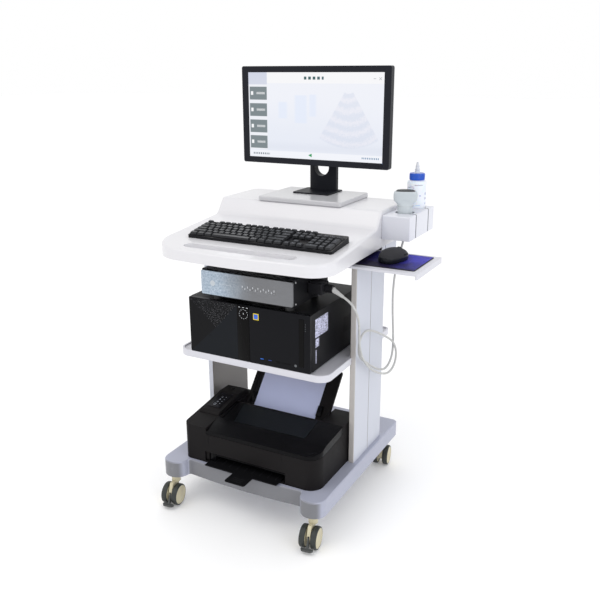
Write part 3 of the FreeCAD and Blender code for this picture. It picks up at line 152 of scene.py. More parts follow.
def makeLights(values):
    world = bpy.data.worlds.new("studio")
    world.use_nodes = True
    sky = world.node_tree.nodes["Background"].inputs
    sky["Color"].default_value = (1, 1, 1, 1)
    sky["Strength"].default_value = values["world"]
    scene.world = world
    for name, place, size, power, color in values["lamps"]:
        data = bpy.data.lights.new(name, "AREA")
        data.size = size
        data.energy = power
        data.color = color
        lamp = linked(name, data)
        lamp.location = at(*place)
        lamp.rotation_euler = (at(*values["aim"]) - lamp.location).to_track_quat("-Z", "Y").to_euler()
    scene.view_settings.view_transform = "Standard"


makeCamera(cameraValues)
makeLights(lightValues)
print("camera and lights made")


# Node trees: a wrapped socket does maths by Python's own operators

class Term:
    def __init__(self, network, socket):
        self.network = network
        self.socket = socket

    def math(self, operation, first, second=0.0):
        return self.network.node("ShaderNodeMath", {"operation": operation}, {0: first, 1: second})

    def __add__(self, other):
        return self.math("ADD", self, other)

    def __radd__(self, other):
        return self.math("ADD", other, self)

    def __sub__(self, other):
        return self.math("SUBTRACT", self, other)

    def __rsub__(self, other):
        return self.math("SUBTRACT", other, self)

    def __mul__(self, other):
        return self.math("MULTIPLY", self, other)

    def __rmul__(self, other):
        return self.math("MULTIPLY", other, self)

    def __truediv__(self, other):
        return self.math("DIVIDE", self, other)

    def __abs__(self):
        return self.math("ABSOLUTE", self)

    def __pow__(self, other):
        return self.math("POWER", self, other)

    def sine(self):
        return self.math("SINE", self)

    def larger(self, other):
        return self.math("MAXIMUM", self, other)


class Network:
    def __init__(self, tree):
        self.tree = tree

    def node(self, kind, settings=None, sockets=None, output=0):
        made = self.tree.nodes.new(kind)
        for name, value in (settings or {}).items():
            setattr(made, name, value)
        for name, value in (sockets or {}).items():
            self.plug(made.inputs[name], value)
        return Term(self, made.outputs[output])

    def plug(self, socket, value):
        if isinstance(value, Term):
            self.tree.links.new(value.socket, socket)
        else:
            socket.default_value = value

    def sibling(self, term, output):
        return Term(self, term.socket.node.outputs[output])


class Finish(Network):
    # One material round a Principled shader

    def __init__(self, name, **constants):
        self.material = bpy.data.materials.new(name)
        self.material.use_nodes = True
        super().__init__(self.material.node_tree)
        self.shader = self.tree.nodes["Principled BSDF"]
        for socket, value in constants.items():
            self.feed(socket.replace("_", " "), value)
        self.place = self.node("ShaderNodeTexCoord", output="Object")

    def feed(self, socket, value):
        if isinstance(value, tuple) and len(value) == 3:
            value = (*value, 1)
        self.plug(self.shader.inputs[socket], value)

    def noise(self, scale, detail=3.0, roughness=0.5, place=None):
        sockets = {"Vector": place or self.place, "Scale": scale, "Detail": detail, "Roughness": roughness}
        return self.node("ShaderNodeTexNoise", None, sockets)

    def stretched(self, scale):
        return self.node("ShaderNodeMapping", None, {"Vector": self.place, "Scale": scale})

    def axes(self, place=None):
        split = self.node("ShaderNodeSeparateXYZ", None, {0: place or self.place})
        return split, self.sibling(split, 1), self.sibling(split, 2)

    def mix(self, factor, first, second):
        first, second = ((*c, 1) if isinstance(c, tuple) else c for c in (first, second))
        return self.node("ShaderNodeMix", {"data_type": "RGBA"}, {0: factor, 6: first, 7: second}, output=2)

    def step(self, value, low, high):
        # 0 below low, 1 above high
        return self.node("ShaderNodeMapRange", {"interpolation_type": "SMOOTHSTEP"},
                         {0: value, 1: low, 2: high})

    def bump(self, height, strength, distance):
        sockets = {"Height": height, "Strength": strength, "Distance": distance}
        self.feed("Normal", self.node("ShaderNodeBump", None, sockets))

    def box(self, first, second, firstRange, secondRange, soft=0.0003):
        # 1 inside a rectangle on two axes, with soft edges
        mask = self.step(first, firstRange[0] - soft, firstRange[0] + soft)
        mask = mask * (1 - self.step(first, firstRange[1] - soft, firstRange[1] + soft))
        mask = mask * self.step(second, secondRange[0] - soft, secondRange[0] + soft)
        return mask * (1 - self.step(second, secondRange[1] - soft, secondRange[1] + soft))


# Finishes

def srgb(red, green, blue):
    # a colour as a paint card gives it, 0 to 255
    shares = [value / 255 for value in (red, green, blue)]
    return tuple(share / 12.92 if share < 0.0404 else ((share + 0.055) / 1.055) ** 2.4 for share in shares)


def mouldedPlastic(name, color, rough, grain=0.12, grainScale=1400.0, shift=0.035, coat=0.0, dust=0.0,
                   glow=0.0, smears=0.16):
    # cloudy colour, handled patches in the gloss, and a fine moulded grain
    mirror = 0.5 if max(color) > 0.1 else 0.07
    finish = Finish(name, Coat_Weight=coat, Coat_Roughness=0.12, Specular_IOR_Level=mirror,
                    Emission_Color=(1.0, 1.0, 1.0), Emission_Strength=glow)
    clouds = finish.noise(5.0, 4.0, 0.6)
    smudges = finish.noise(23.0, 5.0, 0.62)
    pores = finish.noise(grainScale, 2.0, 0.5)
    darker = tuple(channel * (1 - shift) for channel in color)
    lighter = tuple(min(1.0, channel * (1 + shift)) for channel in color)
    tone = finish.mix(clouds, darker, lighter)
    if dust:
        up = finish.axes(finish.node("ShaderNodeNewGeometry", output="Normal"))[2]
        lying = finish.step(up, 0.55, 1.0) * finish.step(smudges, 0.42, 0.7) * dust
        tone = finish.mix(lying, tone, (0.32, 0.31, 0.3))
    finish.feed("Base Color", tone)
    finish.feed("Roughness", rough + (smudges - 0.5) * smears + (pores - 0.5) * smears * 0.3)
    finish.bump(pores, grain, 0.0002)
    return finish.material


def powderCoat(name, color, rough=0.42, peel=0.1):
    # sprayed paint: a gentle orange peel with fine speckle
    dark = max(color) < 0.1
    finish = Finish(name, Coat_Weight=0.0 if dark else 0.12, Coat_Roughness=0.25,
                    Specular_IOR_Level=0.1 if dark else 0.5)
    peelWaves = finish.noise(420.0, 2.0, 0.45)
    speckle = finish.noise(2600.0, 1.0, 0.5)
    clouds = finish.noise(3.0, 3.0, 0.55)
    darker = tuple(channel * 0.955 for channel in color)
    finish.feed("Base Color", finish.mix(clouds * 0.7 + speckle * 0.3, darker, color))
    finish.feed("Roughness", rough + (clouds - 0.5) * 0.14)
    finish.bump(peelWaves * 0.8 + speckle * 0.2, peel, 0.0004)
    return finish.material


def bareMetal(name, color, rough=0.28, grainAxis=(40.0, 900.0, 900.0), metallic=1.0):
    finish = Finish(name, Metallic=metallic)
    lines = finish.noise(1.0, 5.0, 0.65, finish.stretched(grainAxis))
    stains = finish.noise(30.0, 4.0, 0.6)
    darker = tuple(channel * 0.8 for channel in color)
    finish.feed("Base Color", finish.mix(lines, darker, color))
    finish.feed("Roughness", rough + (lines - 0.5) * 0.2 + (stains - 0.5) * 0.12)
    finish.bump(lines, 0.12, 0.0002)
    return finish.material


def softRubber(name, color, rough=0.62, grain=0.25):
    finish = Finish(name)
    pores = finish.noise(900.0, 3.0, 0.6)
    scuffs = finish.noise(60.0, 5.0, 0.68)
    paler = tuple(min(1.0, channel * 1.35 + 0.012) for channel in color)
    finish.feed("Base Color", finish.mix(finish.step(scuffs, 0.48, 0.72) * 0.6, color, paler))
    finish.feed("Roughness", rough + (scuffs - 0.5) * 0.22)
    finish.bump(pores, grain, 0.0003)
    return finish.material


def labelPaper():
    # plain pale sticker with rows of grey blocks in place of words
    paper = Finish("labelPaper")
    blocks = paper.node("ShaderNodeTexVoronoi", {"distance": "CHEBYCHEV"},
                        {"Vector": paper.stretched((1.0, 1.0, 1.9)), "Scale": 260.0}, output="Color")
    inked = paper.step(paper.axes(blocks)[0], 0.52, 0.56) * 0.8
    worn = paper.noise(180.0, 3.0, 0.6)
    paper.feed("Base Color", paper.mix(inked, srgb(202, 203, 228), srgb(104, 106, 124)))
    paper.feed("Roughness", 0.5 + (worn - 0.5) * 0.2)
    return paper.material


def baseShell():
    # the lavender moulding, with painted shade darkening the faces turned to the front
    shell = Finish("baseLavender", Coat_Weight=0.1, Coat_Roughness=0.12)
    clouds = shell.noise(5.0, 4.0, 0.6)
    scuffs = shell.noise(31.0, 5.0, 0.66)
    pores = shell.noise(1400.0, 2.0, 0.5)
    frontward = shell.axes(shell.node("ShaderNodeNewGeometry", output="Normal"))[1]
    tone = shell.mix(clouds, (0.35, 0.365, 0.455), (0.385, 0.40, 0.495))
    # painted shade: faces turned to the front mix towards a dark grey
    tone = shell.mix(shell.step(frontward * -1, 0.45, 0.85), tone, (0.165, 0.168, 0.185))
    shell.feed("Base Color", shell.mix(shell.step(scuffs, 0.6, 0.8) * 0.25, tone, (0.45, 0.46, 0.5)))
    shell.feed("Roughness", 0.4 + (scuffs - 0.5) * 0.16)
    shell.bump(pores, 0.2, 0.0002)
    return shell.material


# Colour, roughness and what else differs in each finish
mouldings = {
    "consoleWhite": ((0.69, 0.685, 0.71), 0.3, dict(grain=0.012, shift=0.006, coat=0.3, smears=0.05)),
    "holderWhite": ((0.68, 0.69, 0.75), 0.34, dict(grain=0.02, shift=0.008, coat=0.15, smears=0.06)),
    # painted shade for the inner walls of the holder's slits
    "slitGrey": ((0.16, 0.165, 0.19), 0.5, {}),
    # painted shade: a darker copy of the console's white, for the monitor platform
    "platformWhite": ((0.54, 0.54, 0.56), 0.3, dict(grain=0.012, shift=0.006, coat=0.3, smears=0.05)),
    "shelfWhite": ((0.60, 0.60, 0.65), 0.33, dict(grain=0.02, shift=0.008, coat=0.2, smears=0.06)),
    "monitorBlack": ((0.013, 0.014, 0.019), 0.36, dict(grain=0.3, coat=0.1)),
    "neckBlack": ((0.012, 0.013, 0.017), 0.42, dict(grain=0.25)),
    "keyboardBlack": ((0.014, 0.014, 0.016), 0.38, dict(grain=0.3, dust=0.25)),
    "keyBlack": ((0.024, 0.025, 0.028), 0.33, dict(grain=0.2, coat=0.3)),
    "printerBlack": ((0.0105, 0.0095, 0.010), 0.48, dict(grain=0.45, grainScale=1000.0)),
    "printerGloss": ((0.0035, 0.0035, 0.0042), 0.2, dict(grain=0.03, coat=0.02)),
    "lidFacet": ((0.0055, 0.0072, 0.0095), 0.34, dict(grain=0.2, coat=0.02)),
    # painted shade put in vents, slots, ports, the socket and the printer's mouth; it also colours the
    # printer's dark seams
    "darkRecess": ((0.005, 0.005, 0.006), 0.6, dict(grain=0.2)),
    "frontGloss": ((0.006, 0.0062, 0.008), 0.24, dict(grain=0.05, coat=0.03)),
    "frontFacet": ((0.009, 0.0105, 0.0135), 0.3, dict(grain=0.08, coat=0.03)),
    "bandBlack": ((0.003, 0.0028, 0.003), 0.22, dict(grain=0.03, coat=0.03)),
    "studBlack": ((0.016, 0.017, 0.02), 0.18, dict(grain=0.03, coat=0.5)),
    # painted glints: pale grey studs stand for light caught on the black studs
    "studSpark": ((0.21, 0.215, 0.23), 0.3, dict(grain=0.03, coat=0.2)),
    "plugBlack": ((0.012, 0.012, 0.014), 0.34, dict(grain=0.2)),
    "casterBeige": ((0.56, 0.51, 0.35), 0.36, dict(grain=0.1, coat=0.15, shift=0.05)),
    "pedalGrey": ((0.085, 0.088, 0.088), 0.42, dict(grain=0.3)),
    "probeGrey": ((0.49, 0.535, 0.565), 0.4, dict(grain=0.12, shift=0.02, coat=0.1)),
    "capBlue": ((0.002, 0.075, 0.50), 0.3, dict(grain=0.08, coat=0.05)),
    "nozzleWhite": ((0.60, 0.62, 0.67), 0.35, dict(grain=0.06)),
    "mouseGloss": ((0.008, 0.009, 0.012), 0.2, dict(grain=0.03, coat=0.25)),
    "mouseDome": ((0.034, 0.034, 0.038), 0.55, dict(grain=0.35)),
    "markWhite": ((0.72, 0.74, 0.77), 0.4, dict(grain=0.03)),
    "portBlue": ((0.01, 0.16, 0.75), 0.35, {}),
    "portDeep": ((0.006, 0.03, 0.22), 0.35, {}),
    "ledBlue": ((0.25, 0.4, 0.85), 0.3, {}),
    "markDim": ((0.11, 0.12, 0.13), 0.4, dict(grain=0.03)),
    "markPale": ((0.38, 0.41, 0.46), 0.4, dict(grain=0.03)),
    "markSoft": ((0.52, 0.56, 0.6), 0.4, dict(grain=0.03)),
    "meshBlack": ((0.006, 0.006, 0.007), 0.35, dict(grain=0.2)),
    "frontDark": ((0.006, 0.006, 0.007), 0.3, dict(grain=0.05, coat=0.05)),
    "badgeYellow": ((0.72, 0.55, 0.02), 0.35, dict(grain=0.03)),
    "badgeBlue": ((0.02, 0.12, 0.62), 0.3, dict(grain=0.03)),
    "controlGloss": ((0.007, 0.007, 0.009), 0.16, dict(grain=0.02, coat=0.05)),
    "seamGrey": ((0.42, 0.45, 0.46), 0.45, dict(grain=0.1)),
}
paints = {
    "columnWhite": ((0.54, 0.56, 0.63), 0.42, {}),
    "trayWhite": ((0.62, 0.62, 0.67), 0.36, {}),
    "frameAlloy": ((0.33, 0.33, 0.35), 0.5, dict(peel=0.2)),
    "frameBlack": ((0.045, 0.045, 0.05), 0.5, dict(peel=0.2)),
    "caseBlack": ((0.008, 0.008, 0.0095), 0.4, dict(peel=0.16)),
    # painted shade for the columns' inner sides and the right column's front
    "channelBrown": ((0.22, 0.205, 0.19), 0.5, {}),
    "channelGrey": ((0.50, 0.475, 0.455), 0.45, {}),
}
metals = {
    "screwSteel": ((0.6, 0.6, 0.62), 0.28, {}),
}
rubbers = {
    "footRubber": ((0.02, 0.02, 0.021), 0.62, {}),
    "tyreGrey": ((0.021, 0.025, 0.023), 0.5, {}),
    "cableGrey": ((0.47, 0.47, 0.46), 0.4, dict(grain=0.08)),
    "lensGrey": ((0.045, 0.047, 0.05), 0.45, dict(grain=0.1)),
    "wheelRubber": ((0.02, 0.02, 0.021), 0.62, {}),
}

finish = {"baseLavender": baseShell(), "labelPaper": labelPaper()}
for make, table in ((mouldedPlastic, mouldings), (powderCoat, paints), (bareMetal, metals),
                    (softRubber, rubbers)):
    for name, (color, rough, more) in table.items():
        finish[name] = make(name, color, rough, **more)


# Mesh helpers

def toMesh(shape, name, outward=True):
    if outward:
        bmesh.ops.recalc_face_normals(shape, faces=shape.faces)
    mesh = bpy.data.meshes.new(name)
    shape.to_mesh(mesh)
    shape.free()
    return mesh


def finishMesh(shape, name, sharp=35.0, fromCad=False):
    mesh = toMesh(shape, name, not fromCad)
    mesh.shade_smooth()
    mesh.set_sharp_from_angle(angle=math.radians(sharp))
    return weighted(mesh) if fromCad else mesh


def weighted(mesh):
    # big flat faces keep their own normal next to small bevels
    holder = linked("weighted", mesh)
    holder.modifiers.new("weighted", "WEIGHTED_NORMAL").keep_sharp = True
    result = applied(holder)
    bpy.data.objects.remove(holder)
    return result


def coat(mesh, *names):
    mesh.materials.clear()
    for name in names:
        mesh.materials.append(finish[name])


def addPiece(name, mesh, body, slot, material, *replaced):
    piece = linked(name, mesh)
    if not mesh.materials:
        mesh.materials.append(finish[material] if isinstance(material, str) else material)
    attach(piece, body)
    if replaced:
        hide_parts(*replaced)
    return piece


def breakEdges(shape, edges, width, segments):
    return bmesh.ops.bevel(shape, geom=edges, offset=width, offset_type="OFFSET", segments=segments,
                           profile=0.5, affect="EDGES", clamp_overlap=True)


def bevelEdges(shape, width, segments=2, above=28.0):
    limit = math.radians(above)
    edges = [edge for edge in shape.edges if len(edge.link_faces) == 2 and edge.calc_face_angle() > limit]
    if edges:
        breakEdges(shape, edges, width, segments)


def merge(shape):
    bmesh.ops.remove_doubles(shape, verts=shape.verts, dist=1e-6)


def solidCopy(node):
    # a merged copy of a CAD node, with flat faces whole again
    shape = bmesh.new()
    shape.from_mesh(nodes[node].data)
    merge(shape)
    bmesh.ops.dissolve_limit(shape, angle_limit=math.radians(0.6), verts=shape.verts, edges=shape.edges)
    return shape


def cadMesh(node, name, bevel=0.0, segments=2):
    # the node's own shape, its edges broken as a moulded or pressed piece has them
    shape = solidCopy(node)
    if bevel:
        bevelEdges(shape, bevel, segments)
    return finishMesh(shape, name, fromCad=True)


def dressed(node, body, slot, material, bevel=0.0008):
    return addPiece(node + ".dressed", cadMesh(node, node, bevel), body, slot, material, node)


def cube(shape, size, center=(0, 0, 0)):
    verts = bmesh.ops.create_cube(shape, size=1.0)["verts"]
    for vert in verts:
        vert.co = vert.co * Vector(size) + Vector(center)
    return verts


def blockMesh(shape, low, high, bevel=0.0):
    # one box in an open bmesh, between two corners in trolley places
    made = cube(shape, Vector(high) - Vector(low))
    if bevel:
        result = breakEdges(shape, list({edge for vert in made for edge in vert.link_edges}), bevel, 2)
        made = list({vert for face in result["faces"] for vert in face.verts} |
                    {vert for vert in made if vert.is_valid})
    center = (Vector(low) + Vector(high)) / 2
    for vert in made:
        vert.co = vert.co + center + trolleyZero
    return made


def block(name, low, high, body, slot, material, bevel=0.0006, *replaced):
    shape = bmesh.new()
    blockMesh(shape, low, high, bevel)
    return addPiece(name, finishMesh(shape, name), body, slot, material, *replaced)


def bridge(shape, lower, upper):
    # quads between two closed loops of equal count
    for index in range(len(lower)):
        following = (index + 1) % len(lower)
        shape.faces.new((lower[index], lower[following], upper[following], upper[index]))


def loftMesh(shape, rings, capped=True):
    # rings of equal count become one closed skin
    loops = [[shape.verts.new(point) for point in ring] for ring in rings]
    for lower, upper in zip(loops, loops[1:]):
        bridge(shape, lower, upper)
    if capped:
        shape.faces.new(loops[0][::-1])
        shape.faces.new(loops[-1])


def latheRings(profile, center, axis=Vector((0, 0, 1)), steps=48):
    # circles about an axis, one for each (radius, height) of the profile
    turn = axis.to_track_quat("Z", "Y").to_matrix()
    angles = [2 * math.pi * index / steps for index in range(steps)]
    return [[center + turn @ Vector((radius * math.cos(angle), radius * math.sin(angle), height))
             for angle in angles] for radius, height in profile]


def lathe(name, profile, center, axis, body, slot, material, *replaced, steps=48):
    shape = bmesh.new()
    loftMesh(shape, latheRings(profile, center, axis, steps))
    return addPiece(name, finishMesh(shape, name), body, slot, material, *replaced)


def superRing(halfX, halfY, power, steps):
    # a closed curve between an ellipse (power 2) and a rectangle
    points = []
    for index in range(steps):
        angle = 2 * math.pi * index / steps
        c, s = math.cos(angle), math.sin(angle)
        points.append(Vector((halfX * math.copysign(abs(c) ** (2 / power), c),
                              halfY * math.copysign(abs(s) ** (2 / power), s), 0)))
    return points


# Geometry Nodes: one tree repeats a small shape over marked points, one along a row, one round a ring

def geometryTree(name, inputs):
    tree = bpy.data.node_groups.new(name, "GeometryNodeTree")
    tree.interface.new_socket("Geometry", in_out="INPUT", socket_type="NodeSocketGeometry")
    for label, kind in inputs:
        tree.interface.new_socket(label, in_out="INPUT", socket_type=kind)
    tree.interface.new_socket("Geometry", in_out="OUTPUT", socket_type="NodeSocketGeometry")
    network = Network(tree)
    source = network.node("NodeGroupInput")
    sockets = {label: network.sibling(source, label) for label, kind in inputs}
    sockets["Geometry"] = source
    return network, sockets


def closeTree(network, points, sockets, rotation, scale):
    pattern = network.node("GeometryNodeObjectInfo", None, {"Object": sockets["Pattern"]}, output="Geometry")
    copies = network.node("GeometryNodeInstanceOnPoints", None,
                          {"Points": points, "Instance": pattern, "Rotation": rotation, "Scale": scale})
    solid = network.node("GeometryNodeRealizeInstances", None, {0: copies})
    painted = network.node("GeometryNodeSetMaterial", None,
                           {"Geometry": solid, "Material": sockets["Finish"]})
    out = network.tree.nodes.new("NodeGroupOutput")
    network.tree.links.new(painted.socket, out.inputs[0])
    return network.tree


def gridTree():
    # small shapes over a flat grid
    inputs = [("Pattern", "NodeSocketObject"), ("Finish", "NodeSocketMaterial"), ("Columns", "NodeSocketInt"),
              ("Rows", "NodeSocketInt"), ("Width", "NodeSocketFloat"), ("Height", "NodeSocketFloat")]
    network, sockets = geometryTree("grid", inputs)
    named = {"Size X": "Width", "Size Y": "Height", "Vertices X": "Columns", "Vertices Y": "Rows"}
    points = network.node("GeometryNodeMeshGrid", None, {own: sockets[label] for own, label in named.items()})
    return closeTree(network, points, sockets, (0, 0, 0), (1, 1, 1))


def ringTree():
    # small shapes round a circle, their X axis outward
    inputs = [("Pattern", "NodeSocketObject"), ("Finish", "NodeSocketMaterial"), ("Count", "NodeSocketInt"),
              ("Radius", "NodeSocketFloat")]
    network, sockets = geometryTree("ring", inputs)
    points = network.node("GeometryNodeMeshCircle", None,
                          {"Vertices": sockets["Count"], "Radius": sockets["Radius"]})
    outward = network.node("GeometryNodeInputPosition")
    turn = network.node("FunctionNodeAlignRotationToVector", {"axis": "X", "pivot_axis": "Z"},
                        {"Vector": outward})
    return closeTree(network, points, sockets, turn, (1, 1, 1))


def spotTree():
    # small shapes on the piece's own points, turned and sized at random from a fixed seed
    inputs = [("Pattern", "NodeSocketObject"), ("Finish", "NodeSocketMaterial"), ("Turn", "NodeSocketFloat"),
              ("Smallest", "NodeSocketFloat"), ("Seed", "NodeSocketInt")]
    network, sockets = geometryTree("spots", inputs)
    turn = network.node("FunctionNodeRandomValue", {"data_type": "FLOAT"},
                        {2: sockets["Turn"] * -1, 3: sockets["Turn"], "Seed": sockets["Seed"]}, output=1)
    size = network.node("FunctionNodeRandomValue", {"data_type": "FLOAT"},
                        {2: sockets["Smallest"], 3: 1.0, "Seed": sockets["Seed"] + 1}, output=1)
    rotation = network.node("ShaderNodeCombineXYZ", None, {2: turn})
    return closeTree(network, sockets["Geometry"], sockets, rotation, size)


trees = {"grid": gridTree(), "ring": ringTree(), "spots": spotTree()}


def repeated(name, tree, pattern, material, place, body, slot, points=(), **inputs):
    # place is the matrix that carries the tree's own flat space onto the object
    source = bpy.data.meshes.new(name + "Points")
    source.from_pydata([tuple(point) for point in points], [], [])
    carrier = linked(name + "Carrier", source)
    patternPiece = bpy.data.objects.new(name + "Pattern", pattern)
    modifier = carrier.modifiers.new(tree, "NODES")
    modifier.node_group = trees[tree]
    given = {"Columns": 1, "Rows": 1, "Width": 0.0, "Height": 0.0, "Pattern": patternPiece,
             "Finish": finish[material], **inputs}
    for item in trees[tree].interface.items_tree:
        if item.in_out == "INPUT" and item.name in given:
            modifier[item.identifier] = given[item.name]
    mesh = applied(carrier)
    bpy.data.objects.remove(carrier)
    bpy.data.objects.remove(patternPiece)
    mesh.transform(place)
    mesh.set_sharp_from_angle(angle=math.radians(35))
    return addPiece(name, mesh, body, slot, material)


def patternBlock(sizeX, sizeY, sizeZ, bevel=0.0):
    shape = bmesh.new()
    cube(shape, (sizeX, sizeY, sizeZ))
    if bevel:
        breakEdges(shape, list(shape.edges), bevel, 1)
    return finishMesh(shape, "pattern")


def patternDisc(radius, height, sides=16, tip=1.0):
    shape = bmesh.new()
    bmesh.ops.create_cone(shape, cap_ends=True, segments=sides, radius1=radius, radius2=radius * tip,
                          depth=height)
    return finishMesh(shape, "pattern")


def facing(axis, up=(0, 0, 1)):
    # a turn whose Z looks along axis and whose Y stands up
    out = Vector(axis).normalized()
    side = Vector(up).cross(out).normalized()
    return Matrix((side, out.cross(side), out)).transposed().to_4x4()


def placed(place, turn=None):
    return Matrix.Translation(at(*place)) @ (turn or Matrix.Identity(4))


frontWay, rearWay, rightWay = facing((0, -1, 0)), facing((0, 1, 0)), facing((1, 0, 0))
corners = ("front_left", "front_right", "rear_left", "rear_right")


# Dressed CAD pieces: the node, its material slot, finish and edge radius

dressing = {
    "base_cover": ("base_grey", "baseLavender", 0.0025),
    "base_frame": ("frame_alloy", "frameAlloy", 0.0006),
    "middle_shelf": ("shelf_white", "shelfWhite", 0.003),
    "frame_brackets": ("frame_black", "frameBlack", 0.0006),
    "frame_screws": ("screw_steel", "screwSteel", 0.0003),
    "rear_support": ("column_white", "columnWhite", 0.001),
    "console_shell": ("console_underside", "consoleWhite", 0.001),
    "console_cover": ("console_white", "consoleWhite", 0.0022),
    # the platform's darker white is painted shade
    "monitor_platform": ("console_white", "platformWhite", 0.0022),
    "stand_base": ("monitor_black", "neckBlack", 0.001),
    "stand_neck": ("monitor_black", "neckBlack", 0.001),
    "monitor_head": ("monitor_black", "neckBlack", 0.0006),
    "monitor_back": ("monitor_black", "monitorBlack", 0.0012),
    "monitor_bezel": ("monitor_black", "monitorBlack", 0.001),
    "keyboard_base": ("keyboard_black", "keyboardBlack", 0.0006),
    "tray_rails": ("frame_black", "frameBlack", 0.0005),
    "mouse_tray": ("tray_white", "trayWhite", 0.0006),
    "engine_chassis": ("case_black", "caseBlack", 0.0006),
    "probe_plug": ("plug_black", "plugBlack", 0.001),
    "cable_relief": ("cable_grey", "cableGrey", 0.0006),
    "computer_case": ("case_black", "caseBlack", 0.001),
    "computer_power": ("button_metal", "bandBlack", 0.0004),
    "drive_tray": ("front_black", "bandBlack", 0.0004),
    "rubber_feet": ("foot_rubber", "footRubber", 0.0006),
    "printer_base": ("printer_black", "printerBlack", 0.0012),
    "printer_cover": ("printer_gloss", "printerGloss", 0.0012),
    "printer_power": ("printer_black", "printerGloss", 0.0004),
    # painted shade: the output tray, deep in the printer's mouth, takes the recess shade
    "output_tray": ("printer_black", "darkRecess", 0.0006),
    "paper_support": ("printer_black", "printerBlack", 0.0008),
    "monitor_power": ("monitor_black", "monitorBlack", 0.0003),
    "monitor_menu": ("monitor_black", "monitorBlack", 0.0003),
    "mouse_wheel": ("mouse_rubber", "wheelRubber", 0.0004),
}
for corner in corners:
    dressing["caster_fork_" + corner] = ("caster_beige", "casterBeige", 0.0005)
for side in ("left", "right"):
    dressing["brake_pedal_front_" + side] = ("pedal_grey", "pedalGrey", 0.0006)

for node, (slot, material, bevel) in dressing.items():
    dressed(node, body_of(nodes[node])[0], slot, material, bevel)
print("dressed pieces made:", len(dressing))


def localAxes(finishing):
    shifted = finishing.node("ShaderNodeVectorMath", {"operation": "SUBTRACT"},
                             {0: finishing.place, 1: tuple(trolleyZero)})
    return finishing.axes(shifted)


def islandsOf(shape):
    # the separate solids of a mesh, each as its list of vertices
    left = set(shape.verts)
    groups = []
    while left:
        stack = [left.pop()]
        group = []
        while stack:
            vert = stack.pop()
            group.append(vert)
            near = {edge.other_vert(vert) for edge in vert.link_edges} & left
            left -= near
            stack += near
        groups.append(group)
    return groups


def cutBy(mesh, cutter, operation="DIFFERENCE"):
    # the mesh with the closed cutter taken out of it, or what the two share
    whole, tool = linked("cutWhole", mesh), linked("cutTool", cutter)
    modifier = whole.modifiers.new("cut", "BOOLEAN")
    modifier.operation = operation
    modifier.solver = "EXACT"
    modifier.object = tool
    result = applied(whole)
    bpy.data.objects.remove(whole)
    bpy.data.objects.remove(tool)
    return result


# Screen

screenValues = {
    "halfWidth": 0.2185, "low": 0.966, "height": 0.246, "glow": 0.97,
    # left, right, low and high of each pale pane, as shares of the page
    "panes": [(0.235, 0.30, 0.47, 0.66), (0.36, 0.45, 0.42, 0.74), (0.47, 0.52, 0.5, 0.75)],
    "fanPlace": (0.112, 1.178), "fanReach": (0.024, 0.175), "fanSpread": 0.62,
    "keys": [0.105, 0.294, 0.488, 0.682],
}


